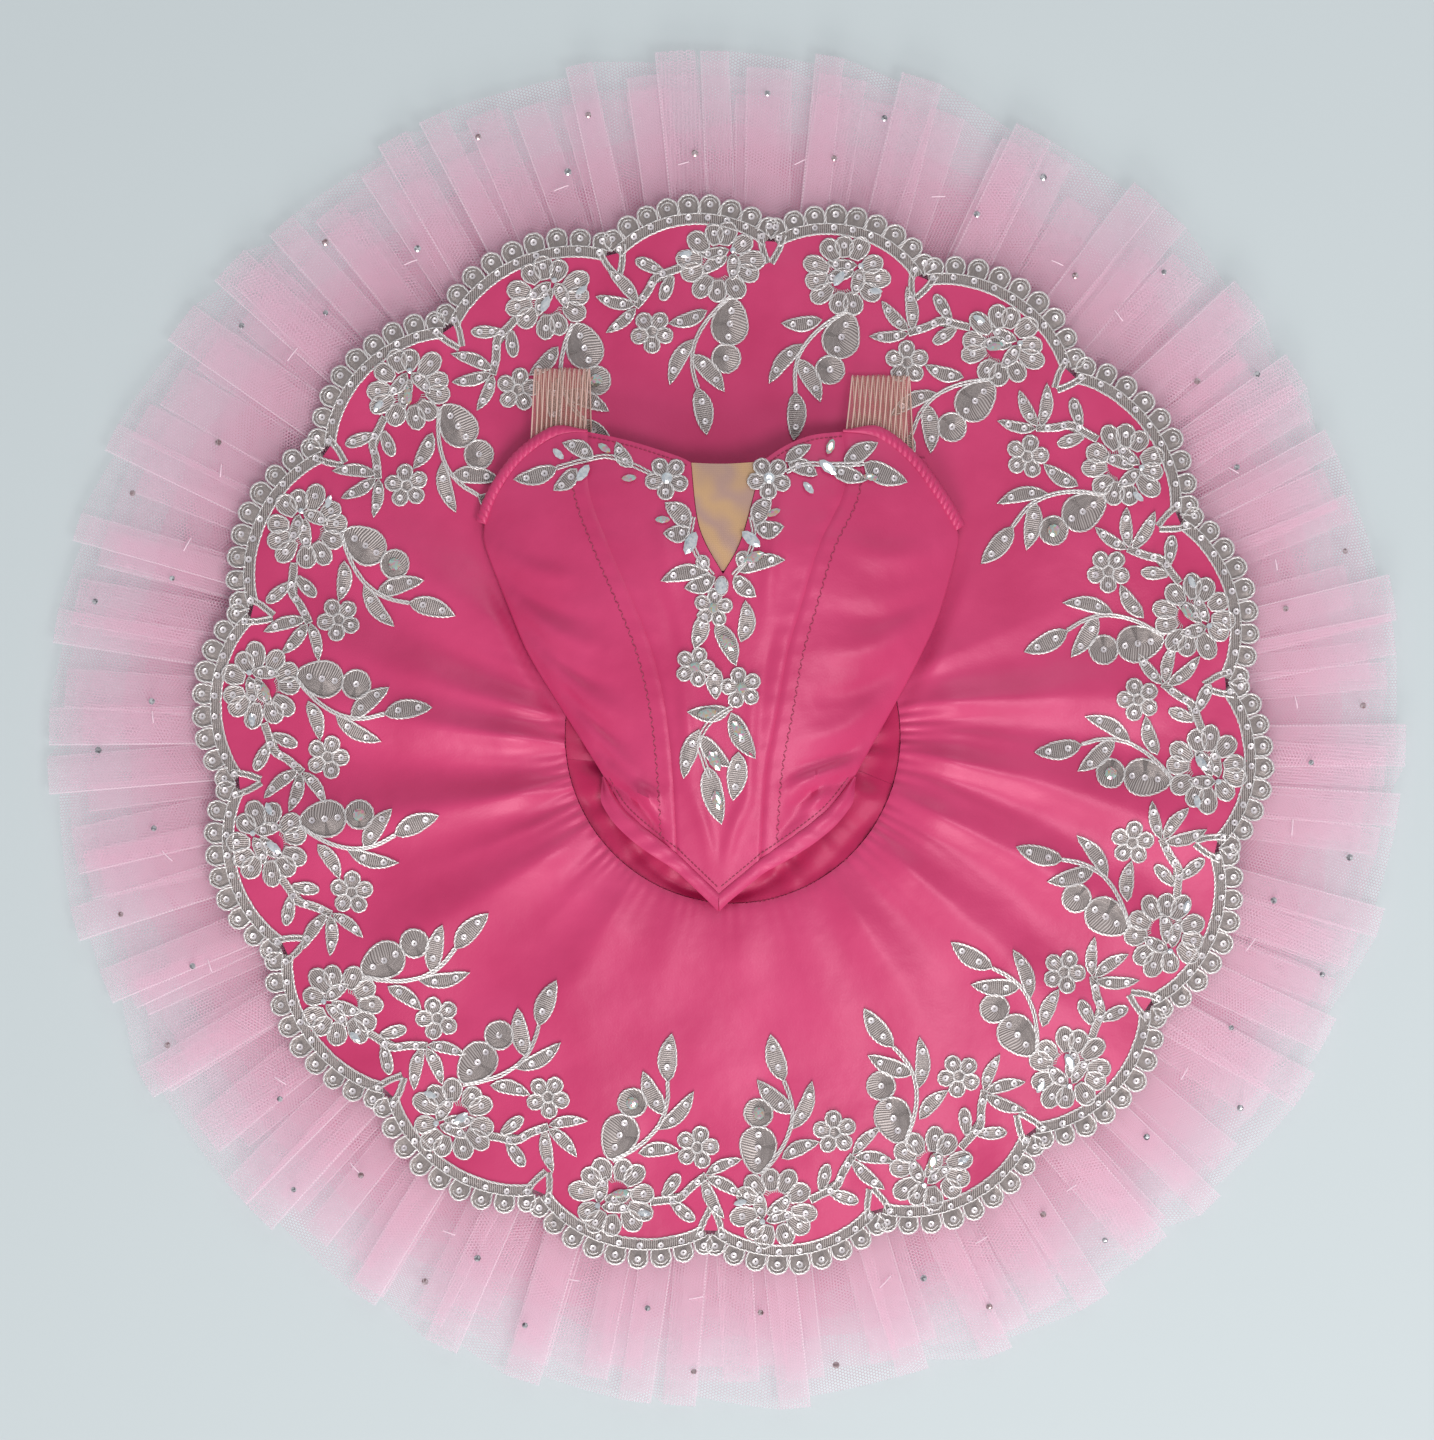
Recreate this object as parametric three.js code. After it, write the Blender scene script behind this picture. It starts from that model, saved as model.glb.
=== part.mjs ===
// Classical pancake tutu laid out flat on its nets, its bodice folded back over
// the back half of the skirt with the front facing up. Millimetres, +Z up,
// +Y towards the back of the tutu, the floor at zero.
import * as THREE from 'three';

// ---------------------------------------------------------------- dimensions

const SEAM_GAP = 0.3;
const CLOTH = 1.2; // wall of satin, twice turned at its edges
const HIP_RADIUS = 121; // gathered seam where the top skirt joins the basque
const HIP_CENTER = { x: 4, y: -4 };
const GATHER_RADIUS = HIP_RADIUS + 0.5; // inner edge of the gathered nets

const NET_RADIUS = 500; // reach of the longest net from the middle of the tutu
const NET_STEP = 13; // each net below is shorter by this
const NET_WALL = 1;
const NET_SPACING = 2.6; // from one net to the next
const NET_FOLDS = 44;
const NET_STEEP = 0.16; // share of a fold that its steep side takes
const NET_NAMES = ['net_layer_top', 'net_layer_middle', 'net_layer_lower'];
const NET_SECTIONS = [
  { radius: GATHER_RADIUS, height: 46.5, fold: 0.6 },
  { radius: 400, height: 22, fold: 3 },
  { radius: 500, height: 14, fold: 7 },
];

const PLATE_SECTIONS = [
  { radius: HIP_RADIUS, height: 50.5, folds: 1 },
  { radius: 138, height: 50, folds: 0.85 },
  { radius: 165, height: 47.5, folds: 0.55 },
  { radius: 215, height: 43.5, folds: 0 },
  { radius: 400, height: 28.5, folds: 0 },
];
const PLATE_FOLDS = [
  { angle: 178, spread: 7, depth: 5 },
  { angle: 192, spread: 6, depth: 4 },
  { angle: 207, spread: 7, depth: 3 },
  { angle: 226, spread: 8, depth: 2 },
  { angle: 250, spread: 8, depth: 1.5 },
  { angle: 292, spread: 8, depth: 1.5 },
  { angle: 315, spread: 8, depth: 2 },
  { angle: 332, spread: 7, depth: 3 },
  { angle: 346, spread: 6, depth: 4.5 },
  { angle: 358, spread: 6, depth: 4 },
];
const PLATE_STEPS = 5; // parts of each scallop

const SCALLOP_CUSP = 350; // radius where two scallops meet
const SCALLOP_PEAK = 373; // radius of the satin in the middle of a scallop
const SCALLOP_ROUND = 0.62; // below 1 the scallop is fuller than a half wave
const BORDER_WIDTH = 21;
const LACE_WALL = 1;
const LACE_LIFT = 0.9; // space under a lace piece, for the curve of the cloth

// Each scallop starts at its cusp. The trim is joined at the back, where one
// motif is cut without its side sprig.
const SCALLOPS = [
  { cusp: 6, motif: 14.4, sprig: true },
  { cusp: 26, motif: 34.6, sprig: true },
  { cusp: 47, motif: 55.3, sprig: true },
  { cusp: 67.5, motif: 76.2, sprig: false },
  { cusp: 85.5, motif: 91.5, sprig: true },
  { cusp: 104, motif: 112.8, sprig: true },
  { cusp: 125, motif: 133, sprig: true },
  { cusp: 145, motif: 154, sprig: true },
  { cusp: 165.5, motif: 174, sprig: true },
  { cusp: 185.5, motif: 193, sprig: true },
  { cusp: 205.5, motif: 214.5, sprig: true },
  { cusp: 226, motif: 234, sprig: true },
  { cusp: 247, motif: 255.5, sprig: true },
  { cusp: 267.5, motif: 275, sprig: true },
  { cusp: 287, motif: 294.5, sprig: true },
  { cusp: 307, motif: 315.3, sprig: true },
  { cusp: 327, motif: 335.3, sprig: true },
  { cusp: 347, motif: 356, sprig: true },
];
const MOTIF_RADIUS = 344;
const FLOWER_RADIUS = 31;

// Outline of a lace motif past its flower: across the skirt, and inwards.
const SPRIG = [
  { across: 40, inward: 8 },
  { across: 56, inward: 14 },
  { across: 70, inward: 24 },
  { across: 68, inward: 36 },
  { across: 60, inward: 44 },
  { across: 62, inward: 56 },
  { across: 48, inward: 66 },
  { across: 35, inward: 60 },
  { across: 31, inward: 46 },
  { across: 25, inward: 40 },
];
const STALK = [
  { across: 21, inward: 56 },
  { across: 27, inward: 78 },
  { across: 16, inward: 96 },
  { across: 7, inward: 124 },
  { across: -1, inward: 108 },
  { across: -9, inward: 92 },
  { across: -22, inward: 80 },
  { across: -28, inward: 66 },
  { across: -24, inward: 50 },
  { across: -20, inward: 38 },
];

// The bodice from its neckline to its waist, a row for each level: the side
// edges, the two princess seams and how far the cloth stands above the skirt.
const BODICE_ROWS = [
  { y: 214, left: -178, seamLeft: -100, seamRight: 83, right: 168, rise: 17 },
  { y: 173, left: -178, seamLeft: -99, seamRight: 84, right: 168, rise: 26 },
  { y: 133, left: -173, seamLeft: -85, seamRight: 66, right: 165, rise: 29 },
  { y: 87, left: -155, seamLeft: -65, seamRight: 52, right: 152, rise: 29 },
  { y: 55, left: -141, seamLeft: -53, seamRight: 43, right: 138, rise: 28 },
  { y: 15, left: -117, seamLeft: -44, seamRight: 36, right: 117, rise: 27 },
  { y: -31, left: -90, seamLeft: -39, seamRight: 28, right: 93, rise: 21 },
  { y: -90, left: -84, seamLeft: -36, seamRight: 24, right: 84, rise: 8 },
  { y: -119, left: -80, seamLeft: -36, seamRight: 24, right: 80, rise: 3 },
];
const BODICE_AXIS = -6;
const BACK_LIFT = 3.6; // the back lies on the skirt and on the lace there
const FRONT_LIFT = 5.4; // side edge of the front, over the back
const BODICE_WALL = 1.4;
const EDGE_WALL = 2; // casings and bands are folded over
const NECKLINE_LEFT = [[-100, 214], [-70, 207], [-36, 196], [-26, 191]];
const NECKLINE_RIGHT = [[25, 192], [41, 203], [60, 211], [83, 214]];
const ARMHOLE_LEFT = [[-100, 214], [-122, 211], [-146, 195], [-164, 171], [-174, 148]];
const ARMHOLE_RIGHT = [[83, 214], [108, 210], [130, 193], [149, 169], [165, 144]];
const PLUNGE_LEFT = [[-26, 191], [-20, 144], [-3, 111]];
const PLUNGE_RIGHT = [[-3, 111], [11, 138], [25, 192]];
const WAIST_LEFT = [[-88, -33], [-72, -58], [-36, -88]];
const WAIST_RIGHT = [[91, -33], [68, -60], [24, -92]];
const WAIST_TIP = [-6, -117];
const BAND_WIDTH = 8;
const BAND_GAP = 1; // the front's edges lean out under the band
const CASING_WIDTH = 7;
const BACK_TOP = 196;
const BACK_WAIST = 20;
const BACK_ROWS = [BACK_TOP, 170, 148, 128, 110, 85, 55, BACK_WAIST];
const BACK_COLUMNS = 5;
const ARMHOLE_LEVEL = 150;
const BACK_NARROW = 0.86; // width of the back beside the front's, over the armholes
const BACK_WIDE = 0.97; // and under them

const BASQUE_RADIUS = HIP_RADIUS - 0.5;
const BASQUE_DIP = 8; // the basque sags between the hip seam and the waist
const BASQUE_UNDER = 3.2; // and rises to this far under the front
const SIDE_SEAM_LEFT = 188;
const SIDE_SEAM_RIGHT = 343;
const BASQUE_FRONT_EDGE = [[-80, -24], [-44, -66], [-6, -102], [34, -70], [82, -24]];
const BASQUE_BACK_EDGE = [[83, -21], [62, 14], [0, 24], [-64, 14], [-81, -21]];

const STRAPS = [
  { name: 'strap_left', side: 'left', from: -142, to: -102, fold: 260, skew: 5 },
  { name: 'strap_right', side: 'right', from: 85, to: 127, fold: 255, skew: 8 },
];
const STRAP_WALL = 1;
const STRAP_UNDER = 3; // a strap starts this far under the front's edge

const CORE_PROFILE = [
  { radius: GATHER_RADIUS, height: 0 },
  { radius: 398, height: 0 },
  { radius: 398, height: 2.4 },
  { radius: 416, height: 2.4 },
  { radius: 416, height: 4.8 },
  { radius: 432, height: 4.8 },
  { radius: 432, height: 7.2 },
  { radius: 446, height: 7.2 },
  { radius: 446, height: 9 },
  { radius: 400, height: 13.6 },
  { radius: GATHER_RADIUS, height: 38.5 },
];
const PANTY_PROFILE = [
  { radius: 0, height: 0 },
  { radius: 104, height: 0 },
  { radius: 112, height: 2 },
  { radius: 112, height: 4 },
  { radius: 106, height: 4.5 },
  { radius: 108, height: 7 },
  { radius: 104, height: 9 },
  { radius: 60, height: 11 },
  { radius: 0, height: 11.5 },
];
const CORE_STEPS = 48;
const PANTY_STEPS = 24;

// Lace sprays on the bodice: middle line and half width at each point.
const SPRAYS = [
  {
    name: 'lace_neck_left',
    line: [[-146, 178, 2], [-128, 190, 9], [-104, 197, 9], [-80, 196, 9], [-56, 186, 11], [-40, 179, 8]],
  },
  {
    name: 'lace_neck_right',
    line: [[29, 178, 8], [44, 185, 11], [66, 196, 9], [88, 198, 9], [112, 190, 9], [132, 178, 2]],
  },
  {
    name: 'lace_plunge_left',
    line: [[-46, 164, 6], [-39, 148, 10], [-33, 132, 12], [-25, 118, 12], [-17, 106, 5]],
  },
  {
    name: 'lace_plunge_right',
    line: [[37, 164, 6], [31, 148, 10], [24, 132, 12], [16, 118, 12], [9, 106, 5]],
  },
  {
    name: 'lace_center_spray',
    line: [[-5, 94, 7], [-9, 80, 12], [-10, 58, 13], [-10, 36, 22], [-8, 18, 14], [-2, 2, 18],
      [-8, -20, 20], [-8, -44, 13], [-7, -66, 2]],
  },
];
const GEM = { x: -4, y: 102.5, halfWidth: 4.5, halfLength: 6, height: 4 };

// ---------------------------------------------------------------- materials

const finish = (color, roughness, metalness) => ({ color, roughness, metalness });
const SATIN = finish('#d9487e', 0.4, 0);
const NET = finish('#f0b8d0', 0.7, 0);
const LACE = finish('#a59a98', 0.5, 0.2);
const MESH = finish('#c9a678', 0.6, 0);
const ELASTIC = finish('#dcb9a6', 0.6, 0);
const CRYSTAL = finish('#e9e6ee', 0.05, 0);

// ------------------------------------------------------------------ helpers

const radians = THREE.MathUtils.degToRad;

/** Height or width read off a table of rows at a place between them. */
function between(rows, key, place, column) {
  const rising = rows[0][key] < rows[rows.length - 1][key];
  const ordered = rising ? rows : [...rows].reverse();
  const next = ordered.findIndex((row) => row[key] >= place);
  if (next === 0) return ordered[0][column];
  if (next < 0) return ordered[ordered.length - 1][column];
  const a = ordered[next - 1];
  const b = ordered[next];
  const share = (place - a[key]) / (b[key] - a[key]);
  return a[column] + (b[column] - a[column]) * share;
}

/** A smooth curve through points, as evenly spaced points. */
function through(points, parts) {
  const curve = new THREE.SplineCurve(points.map(([x, y]) => new THREE.Vector2(x, y)));
  return curve.getSpacedPoints(parts);
}

/** A closed body from its triangles' points, with its faces turned outwards. */
function body(points, triangles) {
  const geometry = new THREE.BufferGeometry();
  geometry.setAttribute('position', new THREE.Float32BufferAttribute(points.flatMap((p) => [p.x, p.y, p.z]), 3));
  const volume = triangles.reduce((sum, [a, b, c]) => {
    const normal = new THREE.Vector3().crossVectors(points[b], points[c]);
    return sum + points[a].dot(normal);
  }, 0);
  const outward = volume > 0 ? triangles : triangles.map(([a, b, c]) => [a, c, b]);
  geometry.setIndex(outward.flat());
  geometry.computeVertexNormals();
  return geometry;
}

/** The upward normal of a grid of points at one of them. */
function normalAt(grid, row, column, round) {
  const last = grid[0].length - 1;
  const left = column > 0 ? column - 1 : round ? last : 0;
  const right = column < last ? column + 1 : round ? 0 : last;
  const above = grid[Math.max(row - 1, 0)][column];
  const below = grid[Math.min(row + 1, grid.length - 1)][column];
  const across = new THREE.Vector3().subVectors(grid[row][right], grid[row][left]);
  const along = new THREE.Vector3().subVectors(below, above);
  const normal = across.cross(along).normalize();
  return normal;
}

/** Cloth of one thickness through a grid of points: a panel, or a round one. */
function wall(grid, thickness, { round = false, upright = false } = {}) {
  const rows = grid.length;
  const columns = grid[0].length;
  const up = new THREE.Vector3(0, 0, 1);
  const sides = [0.5, -0.5].map((half) => grid.flatMap((line, row) => line.map((point, column) => {
    const normal = upright ? up : normalAt(grid, row, column, round);
    return point.clone().addScaledVector(normal, half * thickness);
  })));
  const points = sides.flat();
  const other = rows * columns;
  const at = (row, column) => row * columns + (column % columns);
  const triangles = [];
  const quad = (a, b, c, d) => triangles.push([a, b, c], [a, c, d]);
  const cells = round ? columns : columns - 1;
  for (let row = 0; row < rows - 1; row += 1) {
    for (let column = 0; column < cells; column += 1) {
      const corners = [at(row, column), at(row, column + 1), at(row + 1, column + 1), at(row + 1, column)];
      quad(...corners);
      quad(...corners.map((corner) => corner + other).reverse());
    }
  }
  for (let column = 0; column < cells; column += 1) {
    quad(at(0, column + 1), at(0, column), at(0, column) + other, at(0, column + 1) + other);
    const end = rows - 1;
    quad(at(end, column), at(end, column + 1), at(end, column + 1) + other, at(end, column) + other);
  }
  if (!round) {
    const end = columns - 1;
    for (let row = 0; row < rows - 1; row += 1) {
      quad(at(row, 0), at(row + 1, 0), at(row + 1, 0) + other, at(row, 0) + other);
      quad(at(row + 1, end), at(row, end), at(row, end) + other, at(row + 1, end) + other);
    }
  }
  return body(points, triangles);
}

/** A grid that fills four edges: top and bottom run across, the others down. */
function fill(top, bottom, left, right, height) {
  const across = top.length - 1;
  const down = left.length - 1;
  const corner = (u, v) => {
    const first = top[0].clone().multiplyScalar((1 - u) * (1 - v));
    first.addScaledVector(top[across], u * (1 - v));
    first.addScaledVector(bottom[0], (1 - u) * v);
    return first.addScaledVector(bottom[across], u * v);
  };
  return left.map((start, row) => top.map((upper, column) => {
    const u = column / across;
    const v = row / down;
    const place = upper.clone().multiplyScalar(1 - v).addScaledVector(bottom[column], v);
    place.addScaledVector(start, 1 - u).addScaledVector(right[row], u).sub(corner(u, v));
    return new THREE.Vector3(place.x, place.y, height(place.x, place.y));
  }));
}

/** Moves a line of points sideways, to leave the gap of a seam. */
const shifted = (line, dx, dy = 0) => line.map((point) => new THREE.Vector2(point.x + dx, point.y + dy));

/** A ring of points round the tutu at one radius for each angle. */
function ring(angles, radius, height, center = { x: 0, y: 0 }) {
  return angles.map((angle) => {
    const reach = radius(angle);
    const x = center.x + reach * Math.cos(radians(angle));
    const y = center.y + reach * Math.sin(radians(angle));
    return new THREE.Vector3(x, y, height(reach, angle));
  });
}

/** A solid turned about the middle from a profile. */
function turned(profile, center, steps) {
  const outline = profile.map((point) => new THREE.Vector2(point.radius, point.height));
  if (outline[0].x > 0) outline.push(outline[0].clone());
  const geometry = new THREE.LatheGeometry(outline, steps);
  geometry.rotateX(Math.PI / 2);
  geometry.translate(center.x, center.y, 0);
  return geometry;
}

const tutu = new THREE.Group();

/** Adds one named piece in its finish. */
function piece(name, geometry, look) {
  const mesh = new THREE.Mesh(geometry, new THREE.MeshStandardMaterial({ ...look, side: THREE.FrontSide }));
  mesh.name = name;
  tutu.add(mesh);
}

// --------------------------------------------------------------------- nets

/** Angle where a fold of the nets starts: the folds are uneven in width. */
function foldStart(index) {
  const drift = 0.24 * Math.sin(index * 2.4) + 0.14 * Math.sin(index * 5.1 + 1);
  return ((index + drift) * 360) / NET_FOLDS;
}

/** Depth of a fold, as a share of the deepest. */
const foldDepth = (index) => 0.75 + 0.25 * Math.sin(index * 3.7 + 0.5);

/** Angles along a net, each with where it lies between hollow and crest. */
function foldLine() {
  const line = [];
  for (let index = 0; index < NET_FOLDS; index += 1) {
    const start = foldStart(index);
    const width = foldStart(index + 1) - start;
    line.push({ angle: start, lift: -0.5 });
    line.push({ angle: start + width * NET_STEEP, lift: foldDepth(index) - 0.5 });
  }
  return line;
}

function netLayer(order) {
  const reach = NET_RADIUS - order * NET_STEP;
  const drop = order * NET_SPACING;
  const radii = [NET_SECTIONS[0].radius, NET_SECTIONS[1].radius, reach];
  const line = foldLine();
  const grid = radii.map((radius) => line.map(({ angle, lift }) => {
    const height = between(NET_SECTIONS, 'radius', radius, 'height') - drop;
    const fold = between(NET_SECTIONS, 'radius', radius, 'fold');
    const shift = (NET_RADIUS - radius) / (NET_RADIUS - GATHER_RADIUS);
    const x = HIP_CENTER.x * shift + radius * Math.cos(radians(angle));
    const y = HIP_CENTER.y * shift + radius * Math.sin(radians(angle));
    return new THREE.Vector3(x, y, height + fold * lift);
  }));
  return wall(grid, NET_WALL, { round: true, upright: true });
}

NET_NAMES.forEach((name, order) => piece(name, netLayer(order), NET));
piece('net_core', turned(CORE_PROFILE, HIP_CENTER, CORE_STEPS), NET);
piece('panty_folded', turned(PANTY_PROFILE, HIP_CENTER, PANTY_STEPS), SATIN);

// ---------------------------------------------------------------- top skirt

/** Height of the satin between its folds, by distance from the hip's middle. */
function plateHeight(radius) {
  return between(PLATE_SECTIONS, 'radius', Math.max(radius, HIP_RADIUS), 'height');
}

/** Height of the satin with the folds that run out from the hip seam. */
function foldedHeight(radius, angle) {
  const share = between(PLATE_SECTIONS, 'radius', radius, 'folds');
  const folds = PLATE_FOLDS.reduce((sum, fold) => {
    const away = Math.min(Math.abs(angle - fold.angle) / fold.spread, 1);
    return sum + fold.depth * (1 - away) ** 2;
  }, 0);
  return plateHeight(radius) + folds * share;
}

/** Angles round the skirt, a few for each scallop. */
function scallopAngles() {
  const found = [];
  SCALLOPS.forEach((scallop, index) => {
    const next = index + 1 < SCALLOPS.length ? SCALLOPS[index + 1].cusp : SCALLOPS[0].cusp + 360;
    for (let step = 0; step < PLATE_STEPS; step += 1) {
      const share = step / PLATE_STEPS;
      const bulge = Math.sin(Math.PI * share) ** SCALLOP_ROUND;
      found.push({ angle: (scallop.cusp + (next - scallop.cusp) * share) % 360, bulge });
    }
  });
  return found;
}

const EDGE = scallopAngles();
const edgeRadius = new Map(EDGE.map(({ angle, bulge }) => (
  [angle, SCALLOP_CUSP + (SCALLOP_PEAK - SCALLOP_CUSP) * bulge])));

function skirtRing(radius) {
  return ring(EDGE.map(({ angle }) => angle), radius, foldedHeight, HIP_CENTER);
}

const plateRings = PLATE_SECTIONS.slice(0, -1).map(({ radius }) => skirtRing(() => radius));
plateRings.push(skirtRing((angle) => edgeRadius.get(angle)));
piece('skirt_plate', wall(plateRings, CLOTH, { round: true, upright: true }), SATIN);

const borderRings = [SEAM_GAP, BORDER_WIDTH].map((out) => (
  skirtRing((angle) => edgeRadius.get(angle) + out)));
piece('lace_border', wall(borderRings, LACE_WALL, { round: true, upright: true }), LACE);

/** Outline of a motif: its flower's outer edge, then the sprig and stalk. */
function motifOutline(sprig) {
  const shape = new THREE.Shape();
  const petals = 6;
  for (let step = 0; step <= petals; step += 1) {
    const angle = radians(155 + (230 * step) / petals);
    const x = FLOWER_RADIUS * Math.cos(angle);
    const y = FLOWER_RADIUS * Math.sin(angle);
    if (step === 0) shape.moveTo(x, y);
    else shape.lineTo(x, y);
  }
  const rest = sprig ? [...SPRIG, ...STALK] : STALK;
  rest.forEach(({ across, inward }) => shape.lineTo(across, inward));
  shape.closePath();
  return shape;
}

/** A lace motif laid on the skirt, its flower at one angle. */
function motif(angle, sprig) {
  const geometry = new THREE.ExtrudeGeometry(motifOutline(sprig), { depth: LACE_WALL, bevelEnabled: false });
  const position = geometry.attributes.position;
  const outward = new THREE.Vector2(Math.cos(radians(angle)), Math.sin(radians(angle)));
  for (let index = 0; index < position.count; index += 1) {
    const across = position.getX(index);
    const reach = MOTIF_RADIUS - position.getY(index);
    const x = outward.x * reach - outward.y * across;
    const y = outward.y * reach + outward.x * across;
    const rest = plateHeight(Math.hypot(x, y)) + CLOTH / 2 + LACE_LIFT;
    position.setXYZ(index, x + HIP_CENTER.x, y + HIP_CENTER.y, rest + position.getZ(index));
  }
  return geometry;
}

SCALLOPS.forEach((scallop, index) => {
  const number = String(index + 1).padStart(2, '0');
  piece(`lace_motif_${number}`, motif(scallop.motif, scallop.sprig), LACE);
});

// ------------------------------------------------------------------- bodice

/** Height of the skirt under a place, level across the hip opening. */
const skirtUnder = (x, y) => plateHeight(Math.hypot(x - HIP_CENTER.x, y - HIP_CENTER.y));

/** Height of the bodice's front at a place. */
function frontHeight(x, y) {
  const edge = x < BODICE_AXIS ? between(BODICE_ROWS, 'y', y, 'left') : between(BODICE_ROWS, 'y', y, 'right');
  const share = Math.min(Math.abs((x - BODICE_AXIS) / (edge - BODICE_AXIS)), 1);
  const dome = (1 - share ** 2.4) ** 0.85;
  return skirtUnder(x, y) + FRONT_LIFT + between(BODICE_ROWS, 'y', y, 'rise') * dome;
}

const backHeight = (x, y) => skirtUnder(x, y) + BACK_LIFT;

const column = (key, rows) => rows.map((row) => [row[key], row.y]);
const SEAM_ROWS = BODICE_ROWS.slice(0, 7);
const HALF = SEAM_GAP / 2;
const NECK_PARTS = 4;
const PLUNGE_PARTS = 3;
const DOWN_PARTS = 7;

const SIDES = {
  left: { sign: -1, seam: 'seamLeft', armhole: ARMHOLE_LEFT, waist: WAIST_LEFT },
  right: { sign: 1, seam: 'seamRight', armhole: ARMHOLE_RIGHT, waist: WAIST_RIGHT },
};

/** A princess seam from the neckline to the waist. */
function princessSeam({ seam, waist }) {
  return through([...column(seam, SEAM_ROWS), waist[waist.length - 1]], DOWN_PARTS);
}

const armholeLine = ({ armhole }) => through(armhole, NECK_PARTS + 1);
const waistLine = ({ waist }) => through(waist, NECK_PARTS + 1);
const waistPoint = ({ waist }, parts) => through([waist[waist.length - 1], WAIST_TIP], parts);

function centerFront() {
  const left = shifted(princessSeam(SIDES.left), HALF);
  const right = shifted(princessSeam(SIDES.right), -HALF);
  const neckLeft = shifted(through(NECKLINE_LEFT, NECK_PARTS), -HALF);
  const plungeLeft = shifted(through(PLUNGE_LEFT, PLUNGE_PARTS), -HALF);
  const plungeRight = shifted(through(PLUNGE_RIGHT, PLUNGE_PARTS), HALF);
  const neckRight = shifted(through(NECKLINE_RIGHT, NECK_PARTS), HALF);
  plungeLeft[PLUNGE_PARTS].x += HALF;
  plungeLeft[PLUNGE_PARTS].y -= SEAM_GAP;
  const top = [...neckLeft, ...plungeLeft.slice(1), ...plungeRight.slice(1), ...neckRight.slice(1)];
  top[0] = left[0].clone();
  top[top.length - 1] = right[0].clone();
  const parts = NECK_PARTS + PLUNGE_PARTS;
  const bottom = [...waistPoint(SIDES.left, parts), ...waistPoint(SIDES.right, parts).reverse().slice(1)];
  bottom[0] = left[DOWN_PARTS].clone();
  bottom[bottom.length - 1] = right[DOWN_PARTS].clone();
  return wall(fill(top, bottom, left, right, frontHeight), BODICE_WALL);
}

function sideFront(name) {
  const side = SIDES[name];
  const seam = shifted(princessSeam(side), side.sign * HALF);
  const top = armholeLine(side);
  const waist = waistLine(side).reverse();
  const edgePoints = [side.armhole[side.armhole.length - 1], ...column(name, BODICE_ROWS.slice(2, 6)), side.waist[0]];
  top[0] = seam[0].clone();
  waist[0] = seam[DOWN_PARTS].clone();
  return wall(fill(top, waist, seam, through(edgePoints, DOWN_PARTS), frontHeight), BODICE_WALL);
}

function meshInsert() {
  const edgeLeft = through(PLUNGE_LEFT, PLUNGE_PARTS);
  const edgeRight = through([...PLUNGE_RIGHT].reverse(), PLUNGE_PARTS);
  const grid = edgeLeft.map((start, row) => [0, 0.5, 1].map((share) => {
    const inset = SEAM_GAP + HALF;
    const x = start.x + inset + (edgeRight[row].x - start.x - 2 * inset) * share;
    const y = start.y + (edgeRight[row].y - start.y) * share;
    return new THREE.Vector3(x, y, frontHeight(x, y));
  }));
  const tip = grid[PLUNGE_PARTS];
  tip.forEach((point, index) => point.set(PLUNGE_LEFT[2][0] + (index - 1) * 0.8, PLUNGE_LEFT[2][1] + 2.6,
    frontHeight(PLUNGE_LEFT[2][0], PLUNGE_LEFT[2][1] + 2.6)));
  return wall(grid, NET_WALL);
}

/** A flat strip beside a line, on its left where the distances are above 0. */
function strip(line, from, to, thickness) {
  const grid = [from, to].map((distance) => line.map((point, index) => {
    const before = line[Math.max(index - 1, 0)];
    const after = line[Math.min(index + 1, line.length - 1)];
    const run = new THREE.Vector2().subVectors(after, before).normalize();
    const x = point.x - run.y * distance;
    const y = point.y + run.x * distance;
    return new THREE.Vector3(x, y, frontHeight(x, y));
  }));
  return wall(grid, thickness, { upright: true });
}

/** The ruched casing outside an armhole, past the strap. */
function casing(side) {
  const line = armholeLine(side).slice(1);
  return strip(line, side.sign * SEAM_GAP, side.sign * CASING_WIDTH, EDGE_WALL);
}

/** The folded band along one side of the pointed waist, mitred at its tip. */
function waistBand(side) {
  const line = shifted([...waistLine(side), ...waistPoint(side, 3).slice(1)], side.sign * HALF);
  const geometry = strip(line, side.sign * BAND_GAP, side.sign * BAND_WIDTH, EDGE_WALL);
  const tip = line.length - 1;
  const position = geometry.attributes.position;
  for (let index = tip; index < position.count; index += line.length) {
    const drop = Math.hypot(position.getX(index) - line[tip].x, position.getY(index) - line[tip].y);
    position.setX(index, line[tip].x);
    position.setY(index, line[tip].y - drop * Math.SQRT2);
  }
  return geometry;
}

piece('bodice_center_front', centerFront(), SATIN);
piece('bodice_side_left', sideFront('left'), SATIN);
piece('bodice_side_right', sideFront('right'), SATIN);
piece('mesh_insert', meshInsert(), MESH);
piece('armhole_casing_left', casing(SIDES.left), SATIN);
piece('armhole_casing_right', casing(SIDES.right), SATIN);
piece('waist_band_left', waistBand(SIDES.left), SATIN);
piece('waist_band_right', waistBand(SIDES.right), SATIN);

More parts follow.
